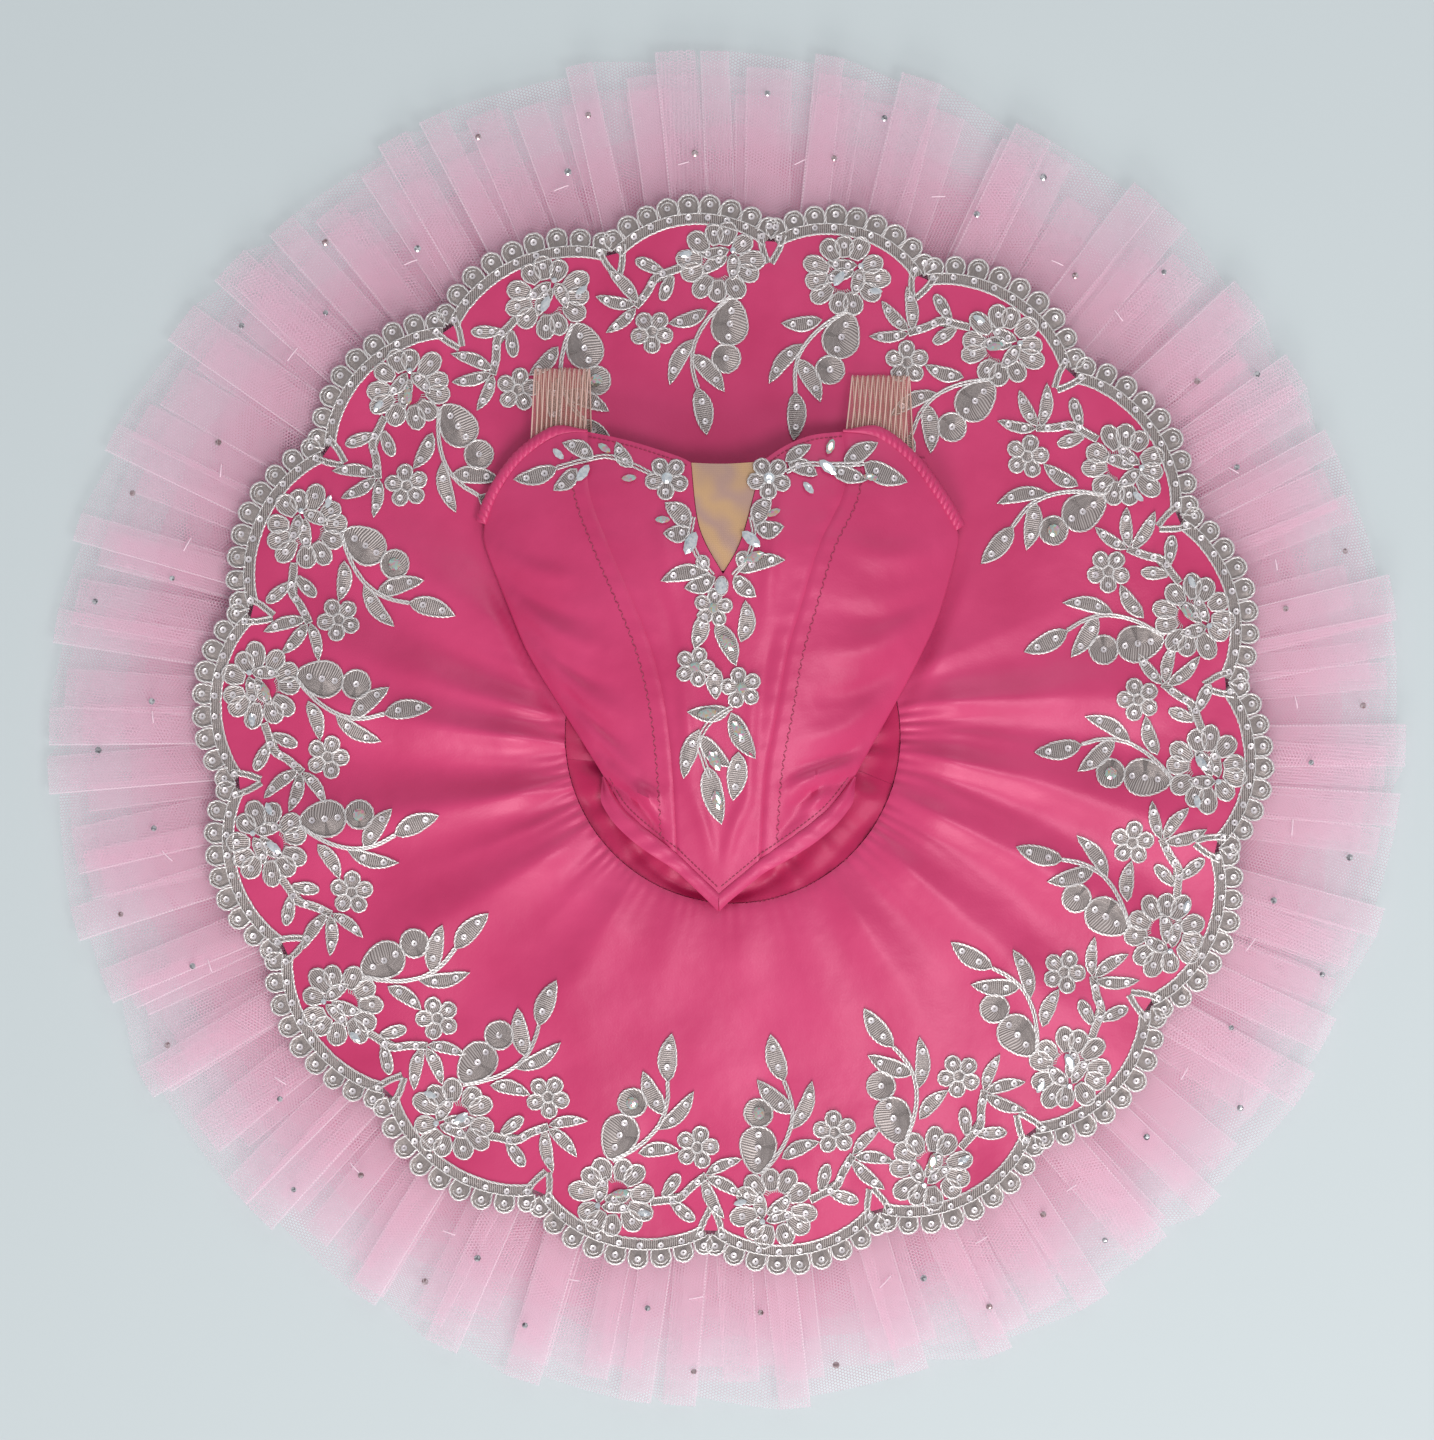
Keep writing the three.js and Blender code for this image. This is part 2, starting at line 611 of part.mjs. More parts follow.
/** Half of the back, flat on the skirt under the front. */
function backPanel(name) {
  const { sign } = SIDES[name];
  const grid = BACK_ROWS.map((y) => Array.from({ length: BACK_COLUMNS + 1 }, (_, step) => {
    const reach = y > ARMHOLE_LEVEL ? BACK_NARROW : BACK_WIDE;
    const edge = BODICE_AXIS + (between(BODICE_ROWS, 'y', y, name) - BODICE_AXIS) * reach;
    const start = BODICE_AXIS + sign * HALF;
    const x = start + ((edge - start) * step) / BACK_COLUMNS;
    return new THREE.Vector3(x, y, backHeight(x, y));
  }));
  return wall(grid, NET_WALL, { upright: true });
}

piece('bodice_back_left', backPanel('left'), SATIN);
piece('bodice_back_right', backPanel('right'), SATIN);

// ------------------------------------------------------------------- basque

/** The hip yoke between the hip seam and a line inside the waist. */
function basque(fromAngle, toAngle, edge, dip, innerHeight) {
  const parts = 14;
  const inner = through(edge, parts);
  const angles = inner.map((_, index) => fromAngle + ((toAngle - fromAngle) * index) / parts);
  const outer = ring(angles, () => BASQUE_RADIUS, () => 0, HIP_CENTER);
  const top = plateHeight(HIP_RADIUS) - CLOTH;
  const grid = [0, 0.35, 0.7, 1].map((share) => inner.map((point, index) => {
    const x = outer[index].x + (point.x - outer[index].x) * share;
    const y = outer[index].y + (point.y - outer[index].y) * share;
    const level = top + (innerHeight(point.x, point.y) - top) * share;
    return new THREE.Vector3(x, y, level - dip * Math.sin(Math.PI * share));
  }));
  return wall(grid, CLOTH, { upright: true });
}

const front = {
  from: SIDE_SEAM_LEFT + HALF,
  to: SIDE_SEAM_RIGHT - HALF,
  waist: (x, y) => frontHeight(x, y) - BASQUE_UNDER,
};
const back = {
  from: SIDE_SEAM_RIGHT + HALF - 360,
  to: SIDE_SEAM_LEFT - HALF,
  waist: () => plateHeight(HIP_RADIUS) - CLOTH - 1,
};
piece('basque_front', basque(front.from, front.to, BASQUE_FRONT_EDGE, BASQUE_DIP, front.waist), SATIN);
piece('basque_back', basque(back.from, back.to, BASQUE_BACK_EDGE, BASQUE_DIP / 4, back.waist), SATIN);

// ------------------------------------------------------------------- straps

/** A strap that leaves the front, folds over and runs back under itself. */
function strap({ side, from, to, fold, skew }) {
  const rows = SIDES[side].armhole.map(([x, y]) => ({ x, y }));
  const grid = [0, 1, 2, 3].map((step) => {
    const x = from + ((to - from) * step) / 3;
    const start = between(rows, 'x', x, 'y') + 1;
    const level = skirtUnder(x, fold) + BACK_LIFT;
    const path = [
      [x, start, frontHeight(x, start) - STRAP_UNDER],
      [x + skew * 0.3, (start + fold) / 2, level + 12],
      [x + skew * 0.5, fold - 5, level + 8],
      [x + skew * 0.6, fold, level + 4],
      [x + skew * 0.7, fold - 5, level],
      [x + skew, BACK_TOP + 1, skirtUnder(x, BACK_TOP) + BACK_LIFT],
    ];
    return path.map((point) => new THREE.Vector3(...point));
  });
  return wall(grid, STRAP_WALL);
}

STRAPS.forEach((row) => piece(row.name, strap(row), ELASTIC));

// ----------------------------------------------------- lace and crystal trim

/** A spray of lace that follows a line over the front of the bodice. */
function spray(line) {
  const middle = line.map(([x, y]) => new THREE.Vector2(x, y));
  const grid = [-1, 0, 1].map((side) => middle.map((point, index) => {
    const before = middle[Math.max(index - 1, 0)];
    const after = middle[Math.min(index + 1, middle.length - 1)];
    const run = new THREE.Vector2().subVectors(after, before).normalize();
    const x = point.x - run.y * line[index][2] * side;
    const y = point.y + run.x * line[index][2] * side;
    return new THREE.Vector3(x, y, frontHeight(x, y) + BODICE_WALL + LACE_LIFT);
  }));
  return wall(grid, LACE_WALL, { upright: true });
}

SPRAYS.forEach(({ name, line }) => piece(name, spray(line), LACE));

/** The oval stone under the plunge: a flat back and a cut crown. */
function stone() {
  const sides = 12;
  const low = frontHeight(GEM.x, GEM.y) + BODICE_WALL + LACE_LIFT / 2;
  const levels = [{ size: 1, up: 0 }, { size: 1, up: 1.4 }, { size: 0.6, up: GEM.height }];
  const points = levels.flatMap(({ size, up }) => Array.from({ length: sides }, (_, index) => {
    const angle = (index / sides) * 2 * Math.PI;
    const x = GEM.x + GEM.halfWidth * size * Math.cos(angle);
    return new THREE.Vector3(x, GEM.y + GEM.halfLength * size * Math.sin(angle), low + up);
  }));
  points.push(new THREE.Vector3(GEM.x, GEM.y, low), new THREE.Vector3(GEM.x, GEM.y, low + GEM.height));
  const triangles = [];
  for (let index = 0; index < sides; index += 1) {
    const next = (index + 1) % sides;
    triangles.push([levels.length * sides, next, index]);
    for (let level = 0; level < levels.length - 1; level += 1) {
      const base = level * sides;
      triangles.push([base + index, base + next, base + sides + next]);
      triangles.push([base + index, base + sides + next, base + sides + index]);
    }
    const crown = (levels.length - 1) * sides;
    triangles.push([levels.length * sides + 1, crown + index, crown + next]);
  }
  return body(points, triangles);
}

piece('center_crystal', stone(), CRYSTAL);

export default tutu;
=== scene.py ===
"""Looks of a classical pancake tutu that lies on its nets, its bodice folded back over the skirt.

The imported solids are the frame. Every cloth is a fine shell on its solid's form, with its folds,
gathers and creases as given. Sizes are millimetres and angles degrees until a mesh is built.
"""

import logging
from dataclasses import dataclass, field, replace
from enum import Enum
from typing import Callable

import bpy
import numpy as np
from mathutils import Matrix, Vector


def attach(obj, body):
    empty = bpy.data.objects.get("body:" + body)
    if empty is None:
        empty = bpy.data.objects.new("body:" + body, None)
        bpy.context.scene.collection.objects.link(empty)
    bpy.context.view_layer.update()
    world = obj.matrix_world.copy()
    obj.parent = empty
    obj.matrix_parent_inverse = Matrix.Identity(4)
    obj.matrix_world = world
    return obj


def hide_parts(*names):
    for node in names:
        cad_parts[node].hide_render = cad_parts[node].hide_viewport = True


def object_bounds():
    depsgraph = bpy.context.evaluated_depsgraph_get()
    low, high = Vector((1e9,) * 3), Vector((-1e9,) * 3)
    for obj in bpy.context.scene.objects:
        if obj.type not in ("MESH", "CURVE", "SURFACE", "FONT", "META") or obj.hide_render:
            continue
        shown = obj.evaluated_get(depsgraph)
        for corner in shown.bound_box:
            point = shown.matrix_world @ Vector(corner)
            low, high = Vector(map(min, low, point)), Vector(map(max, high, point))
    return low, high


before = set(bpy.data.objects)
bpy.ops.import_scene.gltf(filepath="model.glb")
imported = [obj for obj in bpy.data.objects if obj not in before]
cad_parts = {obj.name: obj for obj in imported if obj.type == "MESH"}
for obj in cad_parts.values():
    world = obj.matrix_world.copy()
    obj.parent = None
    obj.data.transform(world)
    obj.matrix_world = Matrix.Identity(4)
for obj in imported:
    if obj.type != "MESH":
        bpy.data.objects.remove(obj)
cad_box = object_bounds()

Points = np.ndarray
Place = Callable[[Points], Points]
Spot = tuple[float, float]
Material = bpy.types.Material
Socket = bpy.types.NodeSocket
Piece = bpy.types.Object
METRES = 0.001
CLOTH_MAP = "cloth_mm"
NYLON_IOR = 1.53
WAVE_UNIT = 20  # Blender's wave texture has 20 radians in each unit of its scale

log = logging.getLogger("tutu")

# ------------------------------------------------------------------ the form, as in the frame

HIP = np.array([4.0, -4.0])
HIP_RADIUS = 121.0
GATHER_RADIUS = 121.5
CLOTH = 1.2
PLATE_RADII = (0, 121, 138, 165, 215, 400)
PLATE_HEIGHTS = (50.5, 50.5, 50.0, 47.5, 43.5, 28.5)
SCALLOP_CUSP = 350.0
SCALLOP_PEAK = 373.0
SCALLOP_ROUND = 0.62
MOTIF_RADIUS = 344.0

# cusp where the scallop starts, angle of its motif, and whether the motif has its side sprig
SCALLOPS = (
    (6, 14.4, True), (26, 34.6, True), (47, 55.3, True), (67.5, 76.2, False), (85.5, 91.5, True),
    (104, 112.8, True), (125, 133, True), (145, 154, True), (165.5, 174, True), (185.5, 193, True),
    (205.5, 214.5, True), (226, 234, True), (247, 255.5, True), (267.5, 275, True),
    (287, 294.5, True), (307, 315.3, True), (327, 335.3, True), (347, 356, True),
)

# the bodice from neckline to waist: level, side edges, princess seams and rise over the skirt
BODICE_ROWS = (
    (214, -178, -100, 83, 168, 17), (173, -178, -99, 84, 168, 26), (133, -173, -85, 66, 165, 29),
    (87, -155, -65, 52, 152, 29), (55, -141, -53, 43, 138, 28), (15, -117, -44, 36, 117, 27),
    (-31, -90, -39, 28, 93, 21), (-90, -84, -36, 24, 84, 8), (-119, -80, -36, 24, 80, 3),
)
BODICE_AXIS = -6.0
FRONT_LIFT = 5.4
BACK_LIFT = 3.6
BODICE_WALL = 1.4
WAIST_TIP = (-6, -117)
NECKLINES = {
    "left": ((-100, 214), (-70, 207), (-36, 196), (-26, 191)),
    "right": ((25, 192), (41, 203), (60, 211), (83, 214)),
}
PLUNGES = {
    "left": ((-26, 191), (-20, 144), (-3, 111)),
    "right": ((-3, 111), (11, 138), (25, 192)),
}
ARMHOLES = {
    "left": ((-100, 214), (-122, 211), (-146, 195), (-164, 171), (-174, 148)),
    "right": ((83, 214), (108, 210), (130, 193), (149, 169), (165, 144)),
}
WAISTS = {
    "left": ((-88, -33), (-72, -58), (-36, -88)),
    "right": ((91, -33), (68, -60), (24, -92)),
}
SIGNS = {"left": -1, "right": 1}


# ------------------------------------------------------------------------------ small helpers


def linear(code: str) -> tuple[float, float, float, float]:
    """Turns an sRGB hex colour to the linear one that a shader takes.

    Args:
        code: the colour as "#RRGGBB".

    Returns:
        Red, green, blue and a full alpha.
    """
    parts = [int(code[at:at + 2], 16) / 255 for at in (1, 3, 5)]
    red, green, blue = (p / 12.92 if p <= 0.04045 else ((p + 0.055) / 1.055) ** 2.4 for p in parts)
    return red, green, blue, 1.0


def turned(angle: float | Points) -> Points:
    """The flat direction at an angle in degrees, x and y in the last axis."""
    return np.stack([np.cos(np.radians(angle)), np.sin(np.radians(angle))], axis=-1)


def respaced(line: Points, parts: int) -> Points:
    """Puts points at even steps along a line.

    Args:
        line: the line's points, one a row.
        parts: how many equal parts it is cut into.

    Returns:
        One point more than the parts.
    """
    steps = np.linalg.norm(np.diff(line, axis=0), axis=1)
    run = np.concatenate([[0], np.cumsum(steps)])
    places = np.linspace(0, run[-1], parts + 1)
    return np.column_stack([np.interp(places, run, line[:, axis]) for axis in range(line.shape[1])])


def through(points: Points | tuple, parts: int) -> Points:
    """A smooth curve through a few points, as evenly spaced points.

    Args:
        points: the points that it passes.
        parts: how many equal parts it is cut into.

    Returns:
        One point more than the parts.
    """
    rows = np.asarray(points, float)
    last = len(rows) - 1
    share = np.linspace(0, 1, 24, endpoint=False)[:, None]
    fine = []
    for index in range(last):
        here, there = rows[index], rows[index + 1]
        leave = (there - rows[max(index - 1, 0)]) / 2
        reach = (rows[min(index + 2, last)] - here) / 2
        cubic = 2 * here - 2 * there + leave + reach
        square = 3 * there - 3 * here - 2 * leave - reach
        fine.append(cubic * share**3 + square * share**2 + leave * share + here)
    fine.append(rows[last:])
    return respaced(np.vstack(fine), parts)


def beside(line: Points, distance: float | Points) -> Points:
    """A flat line moved sideways, to its left where the distance is above 0."""
    run = np.gradient(line[:, :2], axis=0)
    run /= np.linalg.norm(run, axis=1, keepdims=True)
    across = np.column_stack([-run[:, 1], run[:, 0]])
    return line[:, :2] + across * np.broadcast_to(distance, len(line))[:, None]


def coons(top: Points, bottom: Points, left: Points, right: Points) -> Points:
    """A grid of flat points that fills four edges.

    Args:
        top: edge that runs across, with as many points as the bottom one.
        bottom: the other edge across.
        left: edge that runs down, with as many points as the right one.
        right: the other edge down.

    Returns:
        The points, rows down and columns across.
    """
    u = np.linspace(0, 1, len(top))[None, :, None]
    v = np.linspace(0, 1, len(left))[:, None, None]
    place = top[None] * (1 - v) + bottom[None] * v + left[:, None] * (1 - u) + right[:, None] * u
    corners = (1 - v) * (top[0] * (1 - u) + top[-1] * u) + v * (bottom[0] * (1 - u) + bottom[-1] * u)
    return place - corners


def smooth_table(places: tuple, values: tuple, width: float) -> Callable[[Points], Points]:
    """A table read smoothly: its corners are rounded over a width.

    Args:
        places: where the values stand, rising.
        values: the values there.
        width: how far a corner is rounded, in the places' unit.

    Returns:
        A function from places to values.
    """
    fine = np.arange(places[0] - 3 * width, places[-1] + 3 * width, 1.0)
    rough = np.interp(fine, places, values)
    reach = np.arange(-2 * int(width), 2 * int(width) + 1)
    weights = np.exp(-((reach / width) ** 2) * 2)
    padded = np.pad(rough, 2 * int(width), mode="edge")
    soft = np.convolve(padded, weights / weights.sum(), mode="valid")
    return lambda at: np.interp(at, fine, soft)


def soft_step(value: Points, start: float, end: float) -> Points:
    """Rises smoothly from 0 to 1 between a start and an end."""
    share = np.clip((value - start) / (end - start), 0, 1)
    return share * share * (3 - 2 * share)


def bumpy(x: Points, y: Points, size: float, seed: float) -> Points:
    """An uneven, smooth field from -1 to 1 with lumps of about one size."""
    a, b = x / size, y / size
    field_a = np.sin(1.7 * a + 0.9 * b + seed) * np.cos(1.1 * b - 0.6 * a + 2.3 * seed)
    field_b = np.sin(2.9 * a - 1.3 * b + 5.1 * seed) * np.sin(2.3 * b + 0.8 * a + seed)
    return 0.65 * field_a + 0.35 * field_b


# ---------------------------------------------------------------------------- meshes by hand


class Finish(Enum):
    """Where a part of a piece takes its finish from, by its place in the piece's list."""

    FIRST = 0
    SECOND = 1
    THIRD = 2
    FOURTH = 3


class Cutting:
    """The points, faces and cloth coordinates of one piece, gathered part by part."""

    def __init__(self, place: Place | None = None) -> None:
        """Starts an empty piece; a place function moves all its points when it is built."""
        self.place = place
        self.points: list[Points] = []
        self.cloth: list[Points] = []
        self.faces: list[Points] = []
        self.slots: list[Points] = []
        self.count = 0

    def add(self, points: Points, faces: Points, cloth: Points | None = None,
            finish: Finish = Finish.FIRST, cut: bool = False) -> None:
        """Adds one part.

        Args:
            points: its points, one a row.
            faces: its faces, all with three corners or all with four.
            cloth: where each point lies on the flat cloth, or None for its own x and y.
            finish: which of the piece's finishes it has.
            cut: whether its faces share no corners, as the facets of a stone.
        """
        cloth = points[:, :2] if cloth is None else cloth
        if cut:
            points, cloth = points[faces.ravel()], cloth[faces.ravel()]
            faces = np.arange(faces.size).reshape(faces.shape)
        self.points.append(points)
        self.cloth.append(cloth)
        self.faces.append(faces + self.count)
        self.slots.append(np.full(len(faces), finish.value))
        self.count += len(points)

    def grid(self, grid: Points, cloth: Points | None = None, finish: Finish = Finish.FIRST,
             round_it: bool = False) -> None:
        """Adds a single sheet through a grid of points, facing up.

        Args:
            grid: the points, rows down and columns across.
            cloth: the grid's places on the flat cloth.
            finish: which of the piece's finishes it has.
            round_it: whether the last column joins the first.
        """
        rows, columns = grid.shape[:2]
        faces = quads(rows, columns, round_it)
        if mean_lift(grid) < 0:
            faces = faces[:, ::-1]
        flat = None if cloth is None else cloth.reshape(-1, 2)
        self.add(grid.reshape(-1, 3), faces, flat, finish)

    def shell(self, grid: Points, thickness: float, cloth: Points | None = None,
              finish: Finish = Finish.FIRST, round_it: bool = False) -> None:
        """Adds a closed cloth of one thickness through a grid of points.

        Args:
            grid: the points of its middle, rows down and columns across.
            thickness: the cloth's thickness.
            cloth: the grid's places on the flat cloth.
            finish: which of the piece's finishes it has.
            round_it: whether the last column joins the first.
        """
        rows, columns = grid.shape[:2]
        normal = normals(grid, round_it)
        sides = [grid + normal * thickness / 2, grid - normal * thickness / 2]
        upper = quads(rows, columns, round_it)
        other = rows * columns
        index = np.arange(other).reshape(rows, columns)
        if round_it:
            index = np.concatenate([index, index[:, :1]], axis=1)
        rims = [index[0], index[-1][::-1]]
        if not round_it:
            rims += [index[::-1, 0], index[:, -1]]
        walls = [np.column_stack([r[1:], r[:-1], r[:-1] + other, r[1:] + other]) for r in rims]
        faces = np.vstack([upper, upper[:, ::-1] + other, *walls])
        if mean_lift(grid) < 0:
            faces = faces[:, ::-1]
        flat = grid[..., :2] if cloth is None else cloth
        flat = np.concatenate([flat.reshape(-1, 2)] * 2)
        self.add(np.concatenate([side.reshape(-1, 3) for side in sides]), faces, flat, finish)

    def tube(self, line: Points, radius: float | Points, sides: int = 5, closed: bool = False,
             finish: Finish = Finish.FIRST) -> None:
        """Adds a cord along a line, with its ends closed.

        Args:
            line: the points of its middle.
            radius: its radius, or one for each point.
            sides: how many sides its section has.
            closed: whether it comes back to its start.
            finish: which of the piece's finishes it has.
        """
        if closed:
            run = np.roll(line, -1, axis=0) - np.roll(line, 1, axis=0)
        else:
            run = np.gradient(line, axis=0)
        run /= np.maximum(np.linalg.norm(run, axis=1, keepdims=True), 1e-9)
        side = np.cross(run, (0.0, 0.0, 1.0))
        side /= np.maximum(np.linalg.norm(side, axis=1, keepdims=True), 1e-9)
        above = np.cross(side, run)
        around = np.arange(sides) * 2 * np.pi / sides
        reach = np.broadcast_to(radius, len(line))[:, None, None]
        wide = side[:, None] * np.cos(around)[None, :, None]
        tall = above[:, None] * np.sin(around)[None, :, None]
        grid = line[:, None] + (wide + tall) * reach
        rows = len(line)
        faces = quads(sides, rows, closed)
        index = np.arange(rows * sides).reshape(rows, sides).T
        faces = index.ravel()[np.concatenate([faces, wrap_quads(sides, rows, closed)])]
        length = np.concatenate([[0], np.cumsum(np.linalg.norm(np.diff(line, axis=0), axis=1))])
        cloth = np.stack(np.broadcast_arrays(length[:, None], around[None] * 2), axis=-1)
        self.add(grid.reshape(-1, 3), faces, cloth.reshape(-1, 2), finish)
        if not closed:
            caps = np.array([[0, k + 1, k] for k in range(1, sides - 1)])
            self.add(grid[0], caps[:, ::-1], None, finish)
            self.add(grid[-1], caps, None, finish)

    def build(self, name: str, finishes: list[Material], crisp: float = 70) -> Piece:
        """Makes the object in metres, shaded smooth but for its sharp edges.

        Args:
            name: the piece's name.
            finishes: its materials, in the order of Finish.
            crisp: edges sharper than this many degrees stay crisp.

        Returns:
            The new object, linked to the scene.
        """
        points = np.vstack(self.points)
        if self.place is not None:
            points = self.place(points)
        corners = np.concatenate([faces.ravel() for faces in self.faces]).astype(np.int32)
        sizes = np.concatenate([np.full(len(faces), faces.shape[1]) for faces in self.faces])
        mesh = bpy.data.meshes.new(name)
        mesh.vertices.add(len(points))
        mesh.vertices.foreach_set("co", (points * METRES).ravel())
        mesh.loops.add(len(corners))
        mesh.loops.foreach_set("vertex_index", corners)
        mesh.polygons.add(len(sizes))
        mesh.polygons.foreach_set("loop_start", np.concatenate([[0], np.cumsum(sizes)[:-1]]))
        mesh.polygons.foreach_set("material_index", np.concatenate(self.slots))
        cloth = np.vstack(self.cloth)[corners]
        mesh.uv_layers.new(name=CLOTH_MAP).data.foreach_set("uv", cloth.ravel())
        for finish in finishes:
            mesh.materials.append(finish)
        mesh.update(calc_edges=True)
        mesh.shade_smooth()
        mesh.set_sharp_from_angle(angle=np.radians(crisp))
        mesh.validate()
        piece = bpy.data.objects.new(name, mesh)
        bpy.context.scene.collection.objects.link(piece)
        return piece


def quads(rows: int, columns: int, round_it: bool = False) -> Points:
    """Faces of a grid of points, the last column joined to the first if it is round."""
    index = np.arange(rows * columns).reshape(rows, columns)
    if round_it:
        index = np.concatenate([index, index[:, :1]], axis=1)
    corners = [index[:-1, :-1], index[1:, :-1], index[1:, 1:], index[:-1, 1:]]
    return np.stack(corners, axis=-1).reshape(-1, 4)


def wrap_quads(sides: int, rows: int, closed: bool) -> Points:
    """Faces that join a tube's last side to its first."""
    ends = np.arange(rows if closed else rows - 1)
    after = (ends + 1) % rows
    last = (sides - 1) * rows
    return np.column_stack([last + ends, ends, after, last + after])


def normals(grid: Points, round_it: bool) -> Points:
    """The upward normal at each point of a grid."""
    if round_it:
        across = np.roll(grid, -1, axis=1) - np.roll(grid, 1, axis=1)
    else:
        across = np.gradient(grid, axis=1)
    normal = np.cross(np.gradient(grid, axis=0), across)
    normal /= np.maximum(np.linalg.norm(normal, axis=-1, keepdims=True), 1e-9)
    return normal if normal[..., 2].mean() > 0 else -normal


def mean_lift(grid: Points) -> float:
    """Above 0 where a grid's faces, as quads() winds them, look up."""
    diagonal_a = grid[1:, 1:] - grid[:-1, :-1]
    diagonal_b = grid[:-1, 1:] - grid[1:, :-1]
    return float(np.cross(diagonal_a, diagonal_b)[..., 2].mean())


# --------------------------------------------------------------------------------- finishes


class NodeBench:
    """A material being made: its node tree, and the nodes that most finishes need."""

    def __init__(self, name: str) -> None:
        """Starts a material that has only its output."""
        self.material = bpy.data.materials.new(name)
        self.material.use_nodes = True
        self.tree = self.material.node_tree
        self.tree.nodes.clear()
        self.output = self.node("OutputMaterial")

    def node(self, kind: str, inputs: dict | None = None, **settings: object) -> bpy.types.Node:
        """Adds one shader node with its settings and links.

        Args:
            kind: the node's type, without its "ShaderNode".
            inputs: what each socket holds, by name or place: a value, or a socket to link.
            settings: the node's own settings, by name.

        Returns:
            The new node.
        """
        node = self.tree.nodes.new("ShaderNode" + kind)
        for name, value in settings.items():
            setattr(node, name, value)
        for name, value in (inputs or {}).items():
            if isinstance(value, Socket):
                self.tree.links.new(value, node.inputs[name])
            else:
                node.inputs[name].default_value = value
        return node

    def cloth(self) -> Socket:
        """The place on the flat cloth, in millimetres."""
        return self.node("UVMap", uv_map=CLOTH_MAP).outputs[0]

    def place(self) -> Socket:
        """The place in the piece, in metres."""
        return self.node("TexCoord").outputs["Object"]

    def noise(self, where: Socket, scale: float, detail: float = 2.0) -> Socket:
        """An uneven value from 0 to 1."""
        return self.node("TexNoise", {"Vector": where, "Scale": scale, "Detail": detail}).outputs[0]

    def wave(self, where: Socket, width: float, distortion: float, more: dict | None = None,
             **settings: object) -> Socket:
        """Soft bands from 0 to 1.

        Args:
            where: the place that they are read at.
            width: from one band to the next, in the place's unit.
            distortion: how much they waver.
            more: the texture's other inputs.
            settings: its own settings, by name.

        Returns:
            The bands.
        """
        inputs = {"Vector": where, "Scale": 2 * np.pi / (WAVE_UNIT * width), "Distortion": distortion}
        return self.node("TexWave", inputs | (more or {}), **settings).outputs["Fac"]

    def bump(self, height: Socket, strength: float, distance: float, under: Socket | None = None) -> Socket:
        """A normal that a height disturbs, on top of the one under it."""
        inputs = {"Strength": strength, "Distance": distance, "Height": height}
        return self.node("Bump", inputs | ({} if under is None else {"Normal": under})).outputs[0]

    def spread(self, value: Socket, low: float, high: float, start: float = 0.0, end: float = 1.0) -> Socket:
        """Takes a value between a start and an end to one between a low and a high."""
        return self.node("MapRange", {"Value": value, 1: start, 2: end, 3: low, 4: high}).outputs[0]

    def arithmetic(self, operation: str, values: tuple, clamp: bool = False) -> Socket:
        """Works out one operation of arithmetic."""
        return self.node("Math", dict(enumerate(values)), operation=operation, use_clamp=clamp).outputs[0]

    def blend(self, share: Socket, low: str | Socket, high: str) -> Socket:
        """The colour between two at a share; the first may be one that was worked out."""
        first = linear(low) if isinstance(low, str) else low
        return self.node("Mix", {0: share, 6: first, 7: linear(high)}, data_type="RGBA").outputs[2]

    def surface(self, inputs: dict) -> Socket:
        """A surface with its colour, roughness and the like."""
        return self.node("BsdfPrincipled", inputs).outputs[0]

    def sheer(self, cover: Socket, body: Socket) -> Socket:
        """A surface that hides only a share of what is behind it."""
        clear = self.node("BsdfTransparent").outputs[0]
        return self.node("MixShader", {0: cover, 1: clear, 2: body}).outputs[0]

    def finished(self, surface: Socket) -> Material:
        """Puts the surface on the material."""
        self.tree.links.new(surface, self.output.inputs[0])
        return self.material


@dataclass(frozen=True)
class StretchSatin:
    """Nylon and elastane tricot, warp knitted and calendered."""

    name: str = "nylon_tricot_calendered"
    face: str = "#D64879"
    shade: str = "#B62859"
    highlight: str = "#FFC8DC"
    fuzz: str = "#FFC4DA"
    roughness: float = 0.39
    shine: float = 0.58
    course: float = 1.6  # a real course is 0.35 mm; drawn this coarse so that its grain shows

    def material(self) -> Material:
        """Builds the finish: a broad silky sheen with a faint knitted grain.

        Returns:
            The material.
        """
        bench = NodeBench(self.name)
        place = bench.place()
        patches = bench.noise(place, 14.0, 3.0)
        grain = bench.noise(bench.cloth(), 1 / self.course, 1.0)
        slack = bench.noise(place, 38.0)
        fine = bench.bump(grain, 0.12, 0.0006)
        return bench.finished(bench.surface({
            "Base Color": bench.blend(patches, self.shade, self.face),
            "Roughness": bench.spread(grain, self.roughness - 0.04, self.roughness + 0.05),
            "IOR": NYLON_IOR, "Specular IOR Level": self.shine, "Specular Tint": linear(self.highlight),
            "Sheen Weight": 0.06, "Sheen Roughness": 0.4, "Sheen Tint": linear(self.fuzz),
            "Normal": bench.bump(slack, 0.22, 0.004, fine)}))


